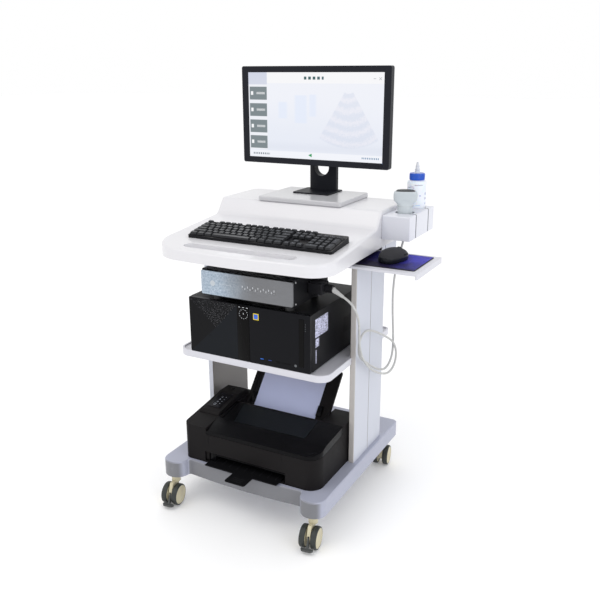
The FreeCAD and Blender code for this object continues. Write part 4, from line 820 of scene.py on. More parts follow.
def screenPage(values):
    page = Finish("screenPage", Base_Color=(0.012, 0.012, 0.014), Roughness=0.3,
                  Emission_Strength=values["glow"])
    x, y, z = localAxes(page)
    u = (x + values["halfWidth"]) / (2 * values["halfWidth"])
    v = (z - values["low"]) / values["height"]
    haze = page.noise(7.0, 3.0, 0.5)
    picture = page.mix(page.step(v + (haze - 0.5) * 0.35, 0.1, 0.8), srgb(229, 233, 243), srgb(237, 239, 246))
    for left, right, low, high in values["panes"]:
        pane = page.box(u, v, (left, right), (low, high), 0.012)
        picture = page.mix(pane * 0.75, picture, srgb(224, 232, 248))
    # a pale fan of echoes stands for the picture
    fromX = x - values["fanPlace"][0]
    fromZ = values["fanPlace"][1] - z
    reach = (fromX * fromX + fromZ * fromZ) ** 0.5
    nearest, farthest = values["fanReach"]
    inside = page.step(reach, nearest - 0.002, nearest + 0.002)
    inside = inside * (1 - page.step(reach, farthest - 0.003, farthest + 0.003))
    inside = inside * (1 - page.step(abs(fromX) - fromZ * values["fanSpread"], -0.001, 0.002))
    echoes = page.noise(150.0, 6.0, 0.75)
    rings = (reach * 210.0 + haze * 9.0).sine() * 0.14 + echoes
    fan = page.mix(page.step(rings, 0.35, 0.72), srgb(203, 211, 229), srgb(233, 231, 240))
    picture = page.mix(inside * 0.45, picture, fan)
    band = page.step(v, 0.055, 0.13) * (1 - page.step(v, 0.13, 0.22))
    picture = page.mix(band * 0.35, picture, srgb(214, 219, 232))
    # header, footer and corner
    picture = page.mix(page.step(v, 0.874, 0.878), picture, srgb(244, 244, 246))
    picture = page.mix(1 - page.step(v, 0.078, 0.084), picture, srgb(240, 242, 248))
    corner = page.box(u, v, (-0.1, 0.146), (0.86, 1.1), 0.002)
    picture = page.mix(corner, picture, page.mix(v, srgb(232, 234, 240), srgb(205, 210, 226)))
    column = page.box(u, v, (-0.1, 0.146), (0.09, 0.86), 0.002)
    picture = page.mix(column, picture, srgb(236, 238, 244))
    # four keys down the left, each with a mark and a word's place
    for low in values["keys"]:
        key = page.box(u, v, (0.008, 0.144), (low, low + 0.152), 0.0015)
        picture = page.mix(key, picture, page.mix(v - low, srgb(116, 128, 132), srgb(106, 118, 124)))
        mark = page.box(u, v, (0.018, 0.036), (low + 0.056, low + 0.098), 0.003)
        word = page.box(u, v, (0.062, 0.128), (low + 0.064, low + 0.09), 0.003)
        strokes = page.step((u * 900.0 + low * 40.0).sine(), -0.2, 0.3)
        picture = page.mix(mark.larger(word * strokes), picture, srgb(246, 247, 249))
    # title bars, window marks and footer words
    title = page.box(u, v, (0.43, 0.575), (0.918, 0.952), 0.002) * page.step((u * 190.0).sine(), -0.5, -0.1)
    picture = page.mix(title, picture, page.mix(page.step(u, 0.5, 0.56), srgb(25, 82, 84), srgb(60, 96, 104)))
    cross = 1 - page.step(abs(abs(u - 0.972) * 1.7 - abs(v - 0.93)), 0.002, 0.006)
    cross = cross * page.box(u, v, (0.962, 0.982), (0.915, 0.945), 0.001)
    dash = page.box(u, v, (0.925, 0.942), (0.927, 0.933), 0.001)
    picture = page.mix(dash.larger(cross) * 0.8, picture, srgb(125, 130, 136))
    for across, upward, pitch, tint in (((0.03, 0.165), (0.03, 0.052), 420.0, srgb(38, 74, 88)),
                                        ((0.85, 0.975), (0.036, 0.056), 500.0, srgb(60, 118, 160))):
        words = page.box(u, v, across, upward, 0.002) * page.step((u * pitch).sine(), -0.1, 0.3)
        picture = page.mix(words, picture, tint)
    leaf = 1 - page.step(abs(v - 0.047) - (u - 0.463) * 0.8, 0, 0.004)
    leaf = leaf * page.box(u, v, (0.463, 0.488), (0.026, 0.068), 0.002)
    picture = page.mix(leaf, picture, srgb(24, 150, 84))
    page.feed("Emission Color", picture)
    page.feed("Roughness", 0.3 + haze * 0.1)
    return page.material


addPiece("screen", cadMesh("monitor_panel", "screen"), "monitor", "screen", screenPage(screenValues),
         "monitor_panel")
print("screen made")


# Monitor details

monitorValues = {
    "ventCount": 22, "ventWidth": 0.26, "ventSize": (0.0042, 0.018, 0.0006), "ventHeights": (1.176, 1.153),
    "light": (0.2185, 0.20275, 0.9655), "menuShift": 0.0325, "menuWidth": 0.039,
}


def makeMonitorDetails(values):
    rear = span("monitor_back")[1].y
    slotPattern = patternBlock(*values["ventSize"], bevel=0.0002)
    # the dark slot plates are painted shade in the vents
    for row, height in enumerate(values["ventHeights"]):
        repeated("monitorVents%d" % row, "grid", slotPattern, "darkRecess",
                 placed((0, rear - 0.0001, height), rearWay), "monitor", "monitor_black",
                 Columns=values["ventCount"], Width=values["ventWidth"])
    repeated("monitorLight", "grid", patternBlock(0.0022, 0.0008, 0.0003), "ledBlue",
             placed(values["light"], frontWay), "monitor", "monitor_black")
    x, y, z = values["light"]
    repeated("menuDots", "grid", patternDisc(0.0007, 0.0003, 12), "markDim",
             placed((x - values["menuShift"], y, z), frontWay), "monitor", "monitor_black",
             Columns=4, Width=values["menuWidth"])


# Keys: dished tops with a small light mark on each

keyValues = {"dishInset": 0.0013, "dishDepth": 0.00045, "edge": 0.0005, "markShift": (-0.0026, 0.0022)}


def makeKeys(node, body, values):
    shape = solidCopy(node)
    tops = [face for face in shape.faces if face.normal.z > 0.9 and face.calc_area() > 5e-5]
    centers = [(face.calc_center_median(), face.normal.copy()) for face in tops]
    bmesh.ops.inset_individual(shape, faces=tops, thickness=values["dishInset"], depth=-values["dishDepth"],
                               use_even_offset=True)
    bevelEdges(shape, values["edge"])
    addPiece(node + "Dished", finishMesh(shape, node, 40, True), body, "key_black", "keyBlack", node)
    return centers


def keyMark(strokes):
    shape = bmesh.new()
    for x, y, width, height in strokes:
        cube(shape, (width, height, 0.00012), (x, y, 0))
    return finishMesh(shape, "keyMark")


keyMarks = [
    # centre x, centre y, width, height of each stroke
    ((0, 0, 0.0005, 0.0026), (0.0009, -0.0011, 0.0014, 0.0004)),
    ((0, 0.0010, 0.0020, 0.0004), (0, -0.0010, 0.0020, 0.0004), (-0.0009, 0, 0.0004, 0.0020)),
    ((0, 0, 0.0022, 0.0005), (0, 0, 0.0005, 0.0024)),
]


def makeKeyboard(values):
    centers = makeKeys("keycaps", "keys", values)
    makeKeys("space_bar", "space_key", values)
    turn = facing(centers[0][1], (0, 1, 0))
    flat = turn.inverted()
    chooser = random.Random(7)
    groups = [[], [], []]
    for center, normal in centers:
        point = flat @ (center - normal * values["dishDepth"])
        groups[chooser.randrange(3)].append(point + Vector((*values["markShift"], 0.00002)))
    for index, points in enumerate(groups):
        repeated("keyMarks%d" % index, "spots", keyMark(keyMarks[index]), "markPale", turn, "keys",
                 "key_black", points, Turn=0.0, Smallest=0.75, Seed=index + 3)


makeMonitorDetails(monitorValues)
makeKeyboard(keyValues)
print("monitor details and keyboard made")


# Tray pad: dark violet with a blue glow to its rear corner, under a black hem

padValues = {"hem": 0.0022, "weave": 5200.0, "bevel": 0.0006}


def padFabric(values):
    fabric = Finish("padFabric", Specular_IOR_Level=0.2)
    low, high = span("tray_pad")
    x, y, z = localAxes(fabric)
    along = (x - low.x) / (high.x - low.x)
    deep = (y - low.y) / (high.y - low.y)
    clouds = fabric.noise(16.0, 6.0, 0.62)
    glow = fabric.step(along * 0.5 + deep * 0.6 + (clouds - 0.5) * 0.9, 0.28, 0.95)
    color = fabric.mix(glow, srgb(22, 16, 44), srgb(58, 56, 176))
    color = fabric.mix(fabric.step(clouds, 0.56, 0.72) * 0.5, color, srgb(62, 44, 132))
    stars = fabric.node("ShaderNodeTexVoronoi", None, {"Vector": fabric.place, "Scale": 95.0},
                        output="Distance")
    size = fabric.noise(60.0, 1.0)
    spots = (1 - fabric.step(stars, 0.03, 0.11)) * fabric.step(size, 0.5, 0.62)
    color = fabric.mix(spots, color, srgb(190, 196, 240))
    inner = fabric.box(x, y, (low.x + values["hem"], high.x - values["hem"]),
                       (low.y + values["hem"], high.y - values["hem"]), 0.0002)
    weave = (x * values["weave"]).sine() * (y * values["weave"]).sine()
    fabric.feed("Base Color", fabric.mix(inner, (0.006, 0.006, 0.008), color))
    fabric.feed("Roughness", 0.55 + weave * 0.08)
    fabric.bump(weave, 0.2, 0.0002)
    return fabric.material


addPiece("mousePad", cadMesh("tray_pad", "mousePad", padValues["bevel"]), "tray", "pad_fabric",
         padFabric(padValues), "tray_pad")


# Engine: a sprayed silver front with plain marks, a vented black chassis

engineValues = {
    "bevel": 0.0007, "disc": (0.0078, -0.0975, 0.676), "plug": (0.201, -0.094, 0.6755),
    # marks on the front: size, finish, middle, count and width of each row
    "marks": {
        "engineDots": ((0.0022, 0.0016, 0.0003), "markSoft", (-0.058, 0.676), 9, 0.036),
        "engineScaleLong": ((0.0016, 0.0105, 0.0003), "markWhite", (0.044, 0.676), 7, 0.096),
        "engineScaleShort": ((0.0013, 0.005, 0.0003), "markWhite", (0.044, 0.6735), 13, 0.096),
    },
    "vent": (0.016, 0.003, 0.0006), "ventRows": 4, "ventHeight": 0.022,
    "screws": (-0.088, 0.676, 0.176, 0.058),
}


def faceplateMetal():
    metal = Finish("faceplateMetal", Metallic=0.55)
    low, high = span("engine_faceplate")
    x, y, z = localAxes(metal)
    along = (x - low.x) / (high.x - low.x)
    blasted = metal.noise(210.0, 6.0, 0.72)
    fine = metal.noise(900.0, 3.0, 0.6)
    brushed = metal.noise(1.0, 4.0, 0.6, metal.stretched((45.0, 900.0, 700.0)))
    wide = metal.noise(12.0, 3.0, 0.5)
    leftTone = metal.mix(metal.step(blasted, 0.3, 0.7), srgb(134, 152, 170), srgb(190, 202, 214))
    rightTone = metal.mix(brushed * 0.7 + wide * 0.3, srgb(104, 104, 106), srgb(130, 132, 136))
    color = metal.mix(metal.step(along + (wide - 0.5) * 0.25, 0.15, 0.55), leftTone, rightTone)
    metal.feed("Base Color", color)
    metal.feed("Roughness", 0.36 + (blasted - 0.5) * 0.2 + (fine - 0.5) * 0.1)
    metal.bump(blasted * 0.7 + fine * 0.3, 0.25, 0.0004)
    return metal.material


def makeEngine(values):
    addPiece("enginePlate", cadMesh("engine_faceplate", "enginePlate", values["bevel"]), "trolley",
             "engine_silver", faceplateMetal(), "engine_faceplate")
    front = span("engine_faceplate")[0].y - 0.0001
    radius, x, z = values["disc"]
    repeated("engineDisc", "grid", patternDisc(radius, 0.0003, 32), "markSoft",
             placed((x, front, z), frontWay), "trolley", "engine_silver")
    for name, (size, material, (x, z), count, width) in values["marks"].items():
        repeated(name, "grid", patternBlock(*size), material, placed((x, front, z), frontWay), "trolley",
                 "engine_silver", Columns=count, Width=width)
    high = span("engine_chassis")[1]
    vent = patternBlock(*values["vent"], bevel=0.0002)
    # the dark slot plates are painted shade in the vents
    for name, place, way, columns, width in (
            ("engineSideVents", (high.x - 0.0001, -0.022, 0.689), rightWay, 2, 0.022),
            ("engineRearVents", (0.0, high.y - 0.0001, 0.676), rearWay, 9, 0.2)):
        repeated(name, "grid", vent, "darkRecess", placed(place, way), "trolley", "case_black",
                 Columns=columns, Rows=values["ventRows"], Width=width, Height=values["ventHeight"])
    y, z, width, height = values["screws"]
    repeated("engineScrews", "grid", screwHead(0.0028, 0.0012), "screwSteel",
             placed((high.x, y, z), rightWay), "trolley", "screw_steel",
             Columns=2, Rows=2, Width=width, Height=height)
    repeated("plugGrip", "ring", patternBlock(0.0016, 0.0016, 0.016, 0.0004), "plugBlack",
             placed(values["plug"], rightWay), "trolley", "plug_black", Count=18, Radius=0.0104)


def screwHead(radius, height):
    # a pan head with a cross recess
    shape = bmesh.new()
    profile = [(radius, 0), (radius, height * 0.4), (radius * 0.8, height * 0.85), (radius * 0.4, height)]
    loftMesh(shape, latheRings(profile, Vector(), steps=20))
    for width, length in ((0.22, 1.1), (1.1, 0.22)):
        cube(shape, (width * radius, length * radius, 0.0001), (0, 0, height * 1.01))
    return finishMesh(shape, "screwHead")


makeEngine(engineValues)
print("engine made")


# Computer: faceted front, studs, ring, ports and labels

computerValues = {
    "facetLeft": -0.1875, "facetRight": -0.032, "apex": (-0.106, 0.543), "sink": 0.007, "rim": 0.0015,
    "studPitch": 0.0042, "studRadius": 0.0021, "studLines": 60, "sparks": 0.6,
    "band": (-0.0308, 0.0058), "ring": (-0.011, 0.598), "ringRadius": 0.0128, "badge": (0.0275, 0.5965),
    # half width, half height, front, rear and finish of the badge's layers
    "badgeLayers": {
        "badgeEdge": (0.0085, 0.009, -0.0004, 0.0001, "badgeYellow"),
        "badgeField": (0.0062, 0.0066, -0.0007, -0.0003, "badgeBlue"),
    },
    # middle, width, height and inner finish of the ports
    "portHeight": 0.4795,
    "ports": {
        "portOne": (0.0445, 0.013, 0.0052, "portBlue"), "portTwo": (0.0690, 0.013, 0.0052, "portDeep"),
        "portThree": (0.0925, 0.013, 0.0052, "darkRecess"), "portCard": (0.1185, 0.024, 0.0034, "darkRecess"),
    },
    "roundPort": [(0.0036, 0), (0.0036, 0.0006), (0.0026, 0.0008), (0.0018, 0.0003)], "roundPortX": 0.1465,
    "driveMarks": (0.1755, 0.589),
    # front, rear, low and high of the stickers on the side
    "labels": {
        "labelLarge": (-0.151, -0.0765, 0.5535, 0.6045), "labelSmall": (-0.149, -0.1290, 0.5265, 0.5495),
        "labelSlim": (-0.1480, -0.1435, 0.4820, 0.5200),
    },
}


def computerFacets(values, front, low, high):
    # a four-sided pyramid is sunk into the left of the front
    apexX, apexZ = values["apex"]
    outline = [(values["facetLeft"], low), (values["facetRight"], low), (values["facetRight"], high),
               (values["facetLeft"], high)]
    mouth = [at(x, front, z) for x, z in outline]
    outside = [point - Vector((0, 0.01, 0)) for point in mouth]
    shape = bmesh.new()
    verts = [shape.verts.new(point) for point in (*mouth, *outside, at(apexX, front + values["sink"], apexZ))]
    for loop in ((0, 1, 5, 4), (1, 2, 6, 5), (2, 3, 7, 6), (3, 0, 4, 7), (4, 5, 6, 7),
                 (1, 0, 8), (2, 1, 8), (3, 2, 8), (0, 3, 8)):
        shape.faces.new([verts[index] for index in loop])
    return toMesh(shape, "facetTool")


def facetIndex(x, z, values, low, high):
    # 0 top, 1 left, 2 bottom and right
    apexX, apexZ = values["apex"]
    across = (x - apexX) / (values["facetRight"] - apexX if x > apexX else apexX - values["facetLeft"])
    upward = (z - apexZ) / (high - apexZ if z > apexZ else apexZ - low)
    if upward > abs(across):
        return 0
    if across < -abs(upward):
        return 1
    return 2


def computerFront(values, front, low, high):
    mesh = cutBy(cadMesh("computer_front", "computerFront"), computerFacets(values, front, low, high))
    shape = bmesh.new()
    shape.from_mesh(mesh)
    merge(shape)
    bevelEdges(shape, 0.0006, 1, 40)
    mesh = finishMesh(shape, "computerFront", 25, True)
    coat(mesh, "frontGloss", "meshBlack", "frontDark", "frontFacet", "bandBlack")
    for face in mesh.polygons:
        x, y, z = face.center - trolleyZero
        within = values["facetLeft"] < x < values["facetRight"] and low < z < high
        if within and y > front + 0.0002 and face.normal.y < -0.5:
            face.material_index = 1 + facetIndex(x, z, values, low, high)
    addPiece("computerFacets", mesh, "trolley", "front_black", "frontGloss", "computer_front")


def makeStuds(values, front, low, high):
    # studs in staggered rows over the top facet, some of them pale grey as painted glints
    pitch, sink, apexZ = values["studPitch"], values["sink"], values["apex"][1]
    turn = facing((0, -(high - apexZ), -sink))
    flat = turn.inverted()
    points = []
    for row in range(values["studLines"]):
        z = high - 0.0025 - row * pitch * 0.8
        for column in range(values["studLines"]):
            x = values["facetLeft"] + (column + 0.5 * (row % 2)) * pitch
            if z > apexZ and values["facetLeft"] < x < values["facetRight"] \
                    and facetIndex(x, z, values, low, high) == 0:
                points.append(flat @ at(x, front + sink * (high - z) / (high - apexZ), z))
    chooser = random.Random(5)
    groups = {True: [], False: []}
    for point in points:
        groups[chooser.random() < values["sparks"]].append(point)
    for name, bright, size, material in (("frontStuds", False, 1.0, "studBlack"),
                                         ("frontSparks", True, 0.62, "studSpark")):
        repeated(name, "spots", patternDisc(values["studRadius"] * size, 0.0014, 5, 0.35), material, turn,
                 "trolley", "front_black", groups[bright], Turn=3.1, Smallest=0.45, Seed=5)


def makeComputer(values):
    frontLow, frontHigh = span("computer_front")
    front, low, high = frontLow.y, frontLow.z + values["rim"], frontHigh.z - values["rim"]
    computerFront(values, front, low, high)
    makeStuds(values, front, low, high)

    def onFront(name, *ends, finish, bevel):
        block(name, *ends, "trolley", "front_black", finish, bevel)

    x, z = values["ring"]
    left, right = values["band"]
    onFront("frontBand", (left, front - 0.0006, low + 0.0005), (right, front + 0.001, high - 0.0005),
            finish="bandBlack", bevel=0.0003)
    repeated("powerRing", "ring", patternBlock(0.0007, 0.0034, 0.0003), "markWhite",
             placed((x, front - 0.0008, z), frontWay), "trolley", "front_black",
             Count=12, Radius=values["ringRadius"])
    repeated("powerMark", "grid", patternBlock(0.0011, 0.0052, 0.0003), "markWhite",
             placed((x, front - 0.0006, z + 0.0015), frontWay), "computer_button", "button_metal")
    repeated("bandGlints", "grid", patternBlock(0.0056, 0.0012, 0.0003), "markWhite",
             placed((x - 0.0005, front - 0.0008, high - 0.005), frontWay), "trolley", "front_black",
             Columns=3, Width=0.024)
    x, z = values["badge"]
    for name, (halfX, halfZ, ahead, behind, material) in values["badgeLayers"].items():
        onFront(name, (x - halfX, front + ahead, z - halfZ), (x + halfX, front + behind, z + halfZ),
                finish=material, bevel=0.0002)
    z = values["portHeight"]
    # each port's dark frame is painted shade in its mouth; the third port's and the card slot's tongues are
    # painted shade too
    for name, (x, width, height, material) in values["ports"].items():
        left, right, top = x - width / 2, x + width / 2, z + height / 2
        onFront(name + "Frame", (left, front - 0.0004, z - height / 2), (right, front + 0.0005, top),
                finish="darkRecess", bevel=0.0002)
        onFront(name + "Tongue", (left + 0.0015, front - 0.0006, z), (right - 0.0015, front, top - 0.0008),
                finish=material, bevel=0.0001)
    lathe("portRound", values["roundPort"], at(values["roundPortX"], front + 0.0001, z), Vector((0, -1, 0)),
          "trolley", "front_black", "markDim", steps=24)
    x, z = values["driveMarks"]
    repeated("driveMarks", "grid", patternDisc(0.0009, 0.0003, 12), "markDim",
             placed((x, front - 0.0001, z), frontWay), "trolley", "front_black", Rows=4, Height=0.018)
    caseHigh = span("computer_case")[1]
    side, rear = caseHigh.x, caseHigh.y
    for name, (lowY, highY, lowZ, highZ) in values["labels"].items():
        block(name, (side - 0.0001, lowY, lowZ), (side + 0.0003, highY, highZ), "trolley", "case_black",
              "labelPaper", 0.00005)
    # the dark dots are painted shade in the perforations
    for name, way, place, columns, rows, width, height in (
            ("caseSideVents", rightWay, (side - 0.0001, 0.058, 0.535), 14, 9, 0.065, 0.04),
            ("caseRearVents", rearWay, (-0.095, rear - 0.0001, 0.553), 22, 14, 0.105, 0.066)):
        repeated(name, "grid", patternDisc(0.0016, 0.0004, 10), "darkRecess", placed(place, way), "trolley",
                 "case_black", Columns=columns, Rows=rows, Width=width, Height=height)
    repeated("caseScrews", "grid", screwHead(0.0032, 0.0014), "screwSteel", placed((0, rear, 0.543), rearWay),
             "trolley", "screw_steel", Columns=2, Rows=2, Width=0.36, Height=0.14)


makeComputer(computerValues)
print("computer made")


# Printer

printerValues = {
    # the two ends of each sloping line, as depth and height
    "lidLine": ((-0.155, 0.256), (-0.052, 0.264)), "controlLine": ((-0.138, 0.2665), (-0.040, 0.2808)),
    # across and depth of the corners of each thin plate
    "lidField": [(-0.070, -0.153), (0.157, -0.151), (0.150, -0.056), (-0.099, -0.056)],
    "lidCheek": [(-0.1255, -0.146), (-0.112, -0.150), (-0.119, -0.056), (-0.1255, -0.056)],
    "controlField": [(-0.184, -0.122), (-0.142, -0.122), (-0.142, -0.046), (-0.184, -0.046)],
    "seams": (-0.121, 0.118), "ribCount": 9,
    "cheeks": [(-0.1335, -0.122, "printerBlack"), (-0.117, -0.100, "printerGloss")],
}


def lineHeight(y, line):
    # the height of a sloping line at one depth
    (nearY, nearZ), (farY, farZ) = line
    return nearZ + (y - nearY) * (farZ - nearZ) / (farY - nearY)


def plate(name, outline, line, thickness, body, slot, material, bevel):
    # a thin plate on any outline, lying on a sloping line
    shape = bmesh.new()
    points = [at(x, y, lineHeight(y, line)) for x, y in outline]
    normal = (points[1] - points[0]).cross(points[2] - points[1]).normalized()
    loftMesh(shape, [points, [point + normal * thickness for point in points]])
    bevelEdges(shape, bevel)
    return addPiece(name, finishMesh(shape, name), body, slot, material)


def makePrinter(values):
    low, high = span("printer_base")
    front = low.y
    for index, x in enumerate(values["seams"]):
        block("printerSeam%d" % index, (x - 0.0006, front - 0.0002, 0.1985),
              (x + 0.0006, front + 0.001, 0.2265), "trolley", "printer_black", "darkRecess", 0.0001)
    # the satin field of the lid, its cheek, and the control field on the raised block
    plate("lidField", values["lidField"], values["lidLine"], 0.0006, "scanner_lid", "printer_gloss",
          "lidFacet", 0.0003)
    plate("lidHandleCheek", values["lidCheek"], values["lidLine"], 0.0022, "scanner_lid", "printer_gloss",
          "printerGloss", 0.0008)
    slope = values["controlLine"]
    plate("controlField", values["controlField"], slope, 0.0005, "trolley", "printer_black",
          "controlGloss", 0.0003)
    rise = Vector((0, slope[1][0] - slope[0][0], slope[1][1] - slope[0][1]))
    turn = facing(Vector((1, 0, 0)).cross(rise), rise)
    for name, pattern, (x, y), rows, height in (
            ("controlBars", patternBlock(0.0075, 0.0016, 0.0003), (-0.167, -0.108), 2, 0.006),
            ("controlRings", patternRing(0.0026, 0.0006), (-0.166, -0.082), 3, 0.026),
            ("controlDots", patternDisc(0.0012, 0.0003, 12), (-0.154, -0.084), 4, 0.036)):
        repeated(name, "grid", pattern, "markPale", placed((x, y, lineHeight(y, slope) + 0.00055), turn),
                 "trolley", "printer_black", Rows=rows, Height=height)
    # output mouth: side cheeks, roller bar and the tray's ribs
    for index, (left, right, material) in enumerate(values["cheeks"]):
        block("mouthCheek%d" % index, (left, front + 0.004, 0.1465), (right, front + 0.05, 0.1725), "trolley",
              "printer_black", material, 0.001)
    # the roller takes the painted recess shade of the mouth
    lathe("mouthRoller", [(0.0035, -0.105), (0.0042, -0.104), (0.0042, 0.104), (0.0035, 0.105)],
          at(0.012, front + 0.052, 0.1655), Vector((1, 0, 0)), "trolley", "printer_black", "darkRecess",
          steps=20)
    block("mouthLip", (-0.098, front + 0.0015, 0.1665), (0.1285, front + 0.0055, 0.1705), "trolley",
          "printer_black", "printerGloss", 0.0008)
    top = span("output_tray")[1].z
    repeated("trayRibs", "grid", patternBlock(0.0022, 0.112, 0.0014, 0.0004), "plugBlack",
             placed((0.0, -0.160, top)), "paper_tray", "printer_black", Columns=values["ribCount"], Width=0.2)
    repeated("tabRibs", "grid", patternBlock(0.034, 0.0016, 0.0012, 0.0004), "plugBlack",
             placed((0.008, -0.2645, top)), "paper_tray", "printer_black", Rows=3, Height=0.016)
    # rear: a louvred hatch and a power socket, their openings dark with painted shade
    repeated("printerLouvres", "grid", patternBlock(0.03, 0.0022, 0.0006, 0.0002), "darkRecess",
             placed((0.02, high.y - 0.0001, 0.192), rearWay), "trolley", "printer_black",
             Columns=7, Rows=6, Width=0.24, Height=0.04)
    block("printerSocket", (-0.162, high.y - 0.001, 0.160), (-0.138, high.y + 0.0004, 0.174), "trolley",
          "printer_black", "darkRecess", 0.0004)


def patternRing(radius, thick, sides=24):
    # a flat ring
    shape = bmesh.new()
    inner = radius - thick
    rings = latheRings([(radius, 0), (radius, 0.0003), (inner, 0.0003), (inner, 0)], Vector(), steps=sides)
    loftMesh(shape, rings + rings[:1], False)
    merge(shape)
    return finishMesh(shape, "patternRing")


paperValues = {
    "lean": 41.3, "pivot": (0, -0.013, 0.232), "left": -0.093, "right": 0.115, "foot": 0.002, "length": 0.196,
    "gap": 0.00175, "bow": 0.0012, "thick": 0.0011, "columns": 12, "rows": 24,
    "guides": {"paperGuideLeft": (-0.108, -0.0935), "paperGuideRight": (0.1155, 0.132)},
}


def makePaper(values):
    # the sheet bows a little off its rest, and its guides stand at the lower corners
    turn = Matrix.Rotation(math.radians(-values["lean"]), 4, "X")
    pivot = at(*values["pivot"])
    columns, rows = values["columns"], values["rows"]
    width = values["right"] - values["left"]
    shape = bmesh.new()

    def sheetRow(row, lift):
        v = row / rows
        line = []
        for column in range(columns + 1):
            u = column / columns
            away = values["gap"] + lift + values["bow"] * math.sin(math.pi * v) * (1 - (2 * u - 1) ** 2)
            place = Vector((values["left"] + width * u, -away, values["foot"] + values["length"] * v))
            line.append(shape.verts.new(pivot + turn @ place))
        return line

    edges = []
    for lift in (0.0, values["thick"]):
        grid = [sheetRow(row, lift) for row in range(rows + 1)]
        for near, far in zip(grid, grid[1:]):
            for column in range(columns):
                shape.faces.new((near[column], near[column + 1], far[column + 1], far[column]))
        edges.append(grid[0] + [line[-1] for line in grid[1:]] + grid[-1][-2::-1]
                     + [line[0] for line in grid[-2:0:-1]])
    bridge(shape, *edges)
    addPiece("paper", finishMesh(shape, "paper"), body_of(nodes["paper_sheet"])[0], "paper", paperFinish(),
             "paper_sheet")
    for name, (left, right) in values["guides"].items():
        shape = bmesh.new()
        for vert in blockMesh(shape, (left, -0.0085, 0.020), (right, -0.0012, 0.052), 0.0012):
            vert.co = pivot + turn @ (vert.co - trolleyZero)
        addPiece(name, finishMesh(shape, name), "paper_rest", "printer_black", "printerGloss")


def paperFinish():
    sheet = Finish("paper")
    x, y, z = localAxes(sheet)
    fibres = sheet.noise(700.0, 4.0, 0.65)
    clouds = sheet.noise(9.0, 2.0, 0.5)
    higher = sheet.step(z + (clouds - 0.5) * 0.06, 0.25, 0.42)
    tone = sheet.mix(higher, srgb(198, 205, 238), srgb(172, 172, 192))
    sheet.feed("Base Color", sheet.mix(fibres * 0.12, tone, srgb(150, 150, 170)))
    sheet.feed("Roughness", 0.75 + (fibres - 0.5) * 0.2)
    sheet.bump(fibres, 0.08, 0.0001)
    return sheet.material


makePrinter(printerValues)
makePaper(paperValues)
print("printer made")


# Casters: rounded tyres and dished hubs on the CAD wheels' own axles

casterValues = {
    "tyre": 0.0315, "hub": 0.0272, "halfWidth": 0.0085, "axle": 0.0039, "gap": 0.0003,
    # half of the tyre's line, from its crown: inward from its radius and from its side
    "tyreLine": [(0.0001, 0.0046), (0.0010, 0.0016), (0.0028, 0.0002)],
    # the hub's line, from its rim: inward from its radius and outward from its side
    "rimLine": [(0, -0.0006), (0.0010, 0.0002), (0.0022, -0.0002), (0.0034, -0.0010)],
    # the hub's cap: radius and outward from the side
    "capLine": [(0.0110, -0.0006), (0.0096, 0.0001), (0.0044, 0.0005), (0.0006, 0.0006)],
}


def makeWheels(corner, values):
    node = "caster_wheels_" + corner
    body = "wheels_" + corner
    shape = solidCopy(node)
    groups = []
    for group in islandsOf(shape):
        center = sum((vert.co for vert in group), Vector()) / len(group)
        groups.append((max((vert.co - center).length for vert in group), center))
    shape.free()
    # the two largest solids are the wheels
    first, second = (center for size, center in sorted(groups, key=lambda item: -item[0])[:2])
    middle = (first + second) / 2
    axis = (second - first).normalized()
    half, tyre, hub = values["halfWidth"], values["tyre"], values["hub"]
    inner = hub - values["gap"]
    outward = [(tyre - inward, half - side) for inward, side in values["tyreLine"]] + [(inner, half - 0.0008)]
    profile = [(radius, -height) for radius, height in outward[::-1]] + [(tyre, 0)] + outward
    dish = [(0.003, -half + 0.001), (hub - 0.003, -half + 0.001), (hub, -half + 0.0025)]
    dish += [(hub - inward, half + side) for inward, side in values["rimLine"]]
    dish += [(radius, half + side) for radius, side in values["capLine"]]
    rubber = bmesh.new()
    beige = bmesh.new()
    for center, out in ((first, -axis), (second, axis)):
        loop = latheRings(profile, center, out, 56)
        loftMesh(rubber, loop + loop[:1], False)
        loftMesh(beige, latheRings(dish, center, out, 56))
    reach = (second - first).length / 2 - half + 0.001
    loftMesh(beige, latheRings([(values["axle"], -reach), (values["axle"], reach)], middle, axis, 24))
    merge(rubber)
    addPiece("tyres_" + corner, finishMesh(rubber, "tyres"), body, "caster_tyre", "tyreGrey", node)
    addPiece("hubs_" + corner, finishMesh(beige, "hubs"), body, "caster_beige", "casterBeige", node)


for corner in corners:
    makeWheels(corner, casterValues)
print("casters made")


# Columns: white outer sides, painted shade on the inner sides and on the right column's front

def makeColumn(node, side, frontFinish, innerFinish):
    mesh = cadMesh(node, node, 0.0006)
    coat(mesh, "columnWhite", frontFinish, innerFinish)
    # painted shade: inner faces take the brown, front faces the given front finish
    for face in mesh.polygons:
        if face.normal.x * side < -0.4:
            face.material_index = 2
        elif face.normal.y < -0.6:
            face.material_index = 1
    addPiece(node + "Dressed", mesh, "trolley", "column_white", "columnWhite", node)


makeColumn("column_left", -1, "columnWhite", "channelBrown")
makeColumn("column_right", 1, "channelGrey", "channelBrown")


# Holder, with painted shade on the inner walls of its slits

holderValues = {"slits": (0.158, 0.260), "reach": 0.0027, "bevel": 0.0012}


def makeHolder(values):
    mesh = cadMesh("probe_holder", "probeHolder", values["bevel"])
    coat(mesh, "holderWhite", "slitGrey")
    for face in mesh.polygons:
        # faces inside the slits take the painted shade
        y = face.center.y - trolleyZero.y
        if abs(face.normal.y) > 0.8 and min(abs(y - slit) for slit in values["slits"]) < values["reach"]:
            face.material_index = 1
    addPiece("probeHolder", mesh, "trolley", "console_white", "holderWhite", "probe_holder")


makeHolder(holderValues)


# Mouse: one dome, parted into the shell and its two buttons

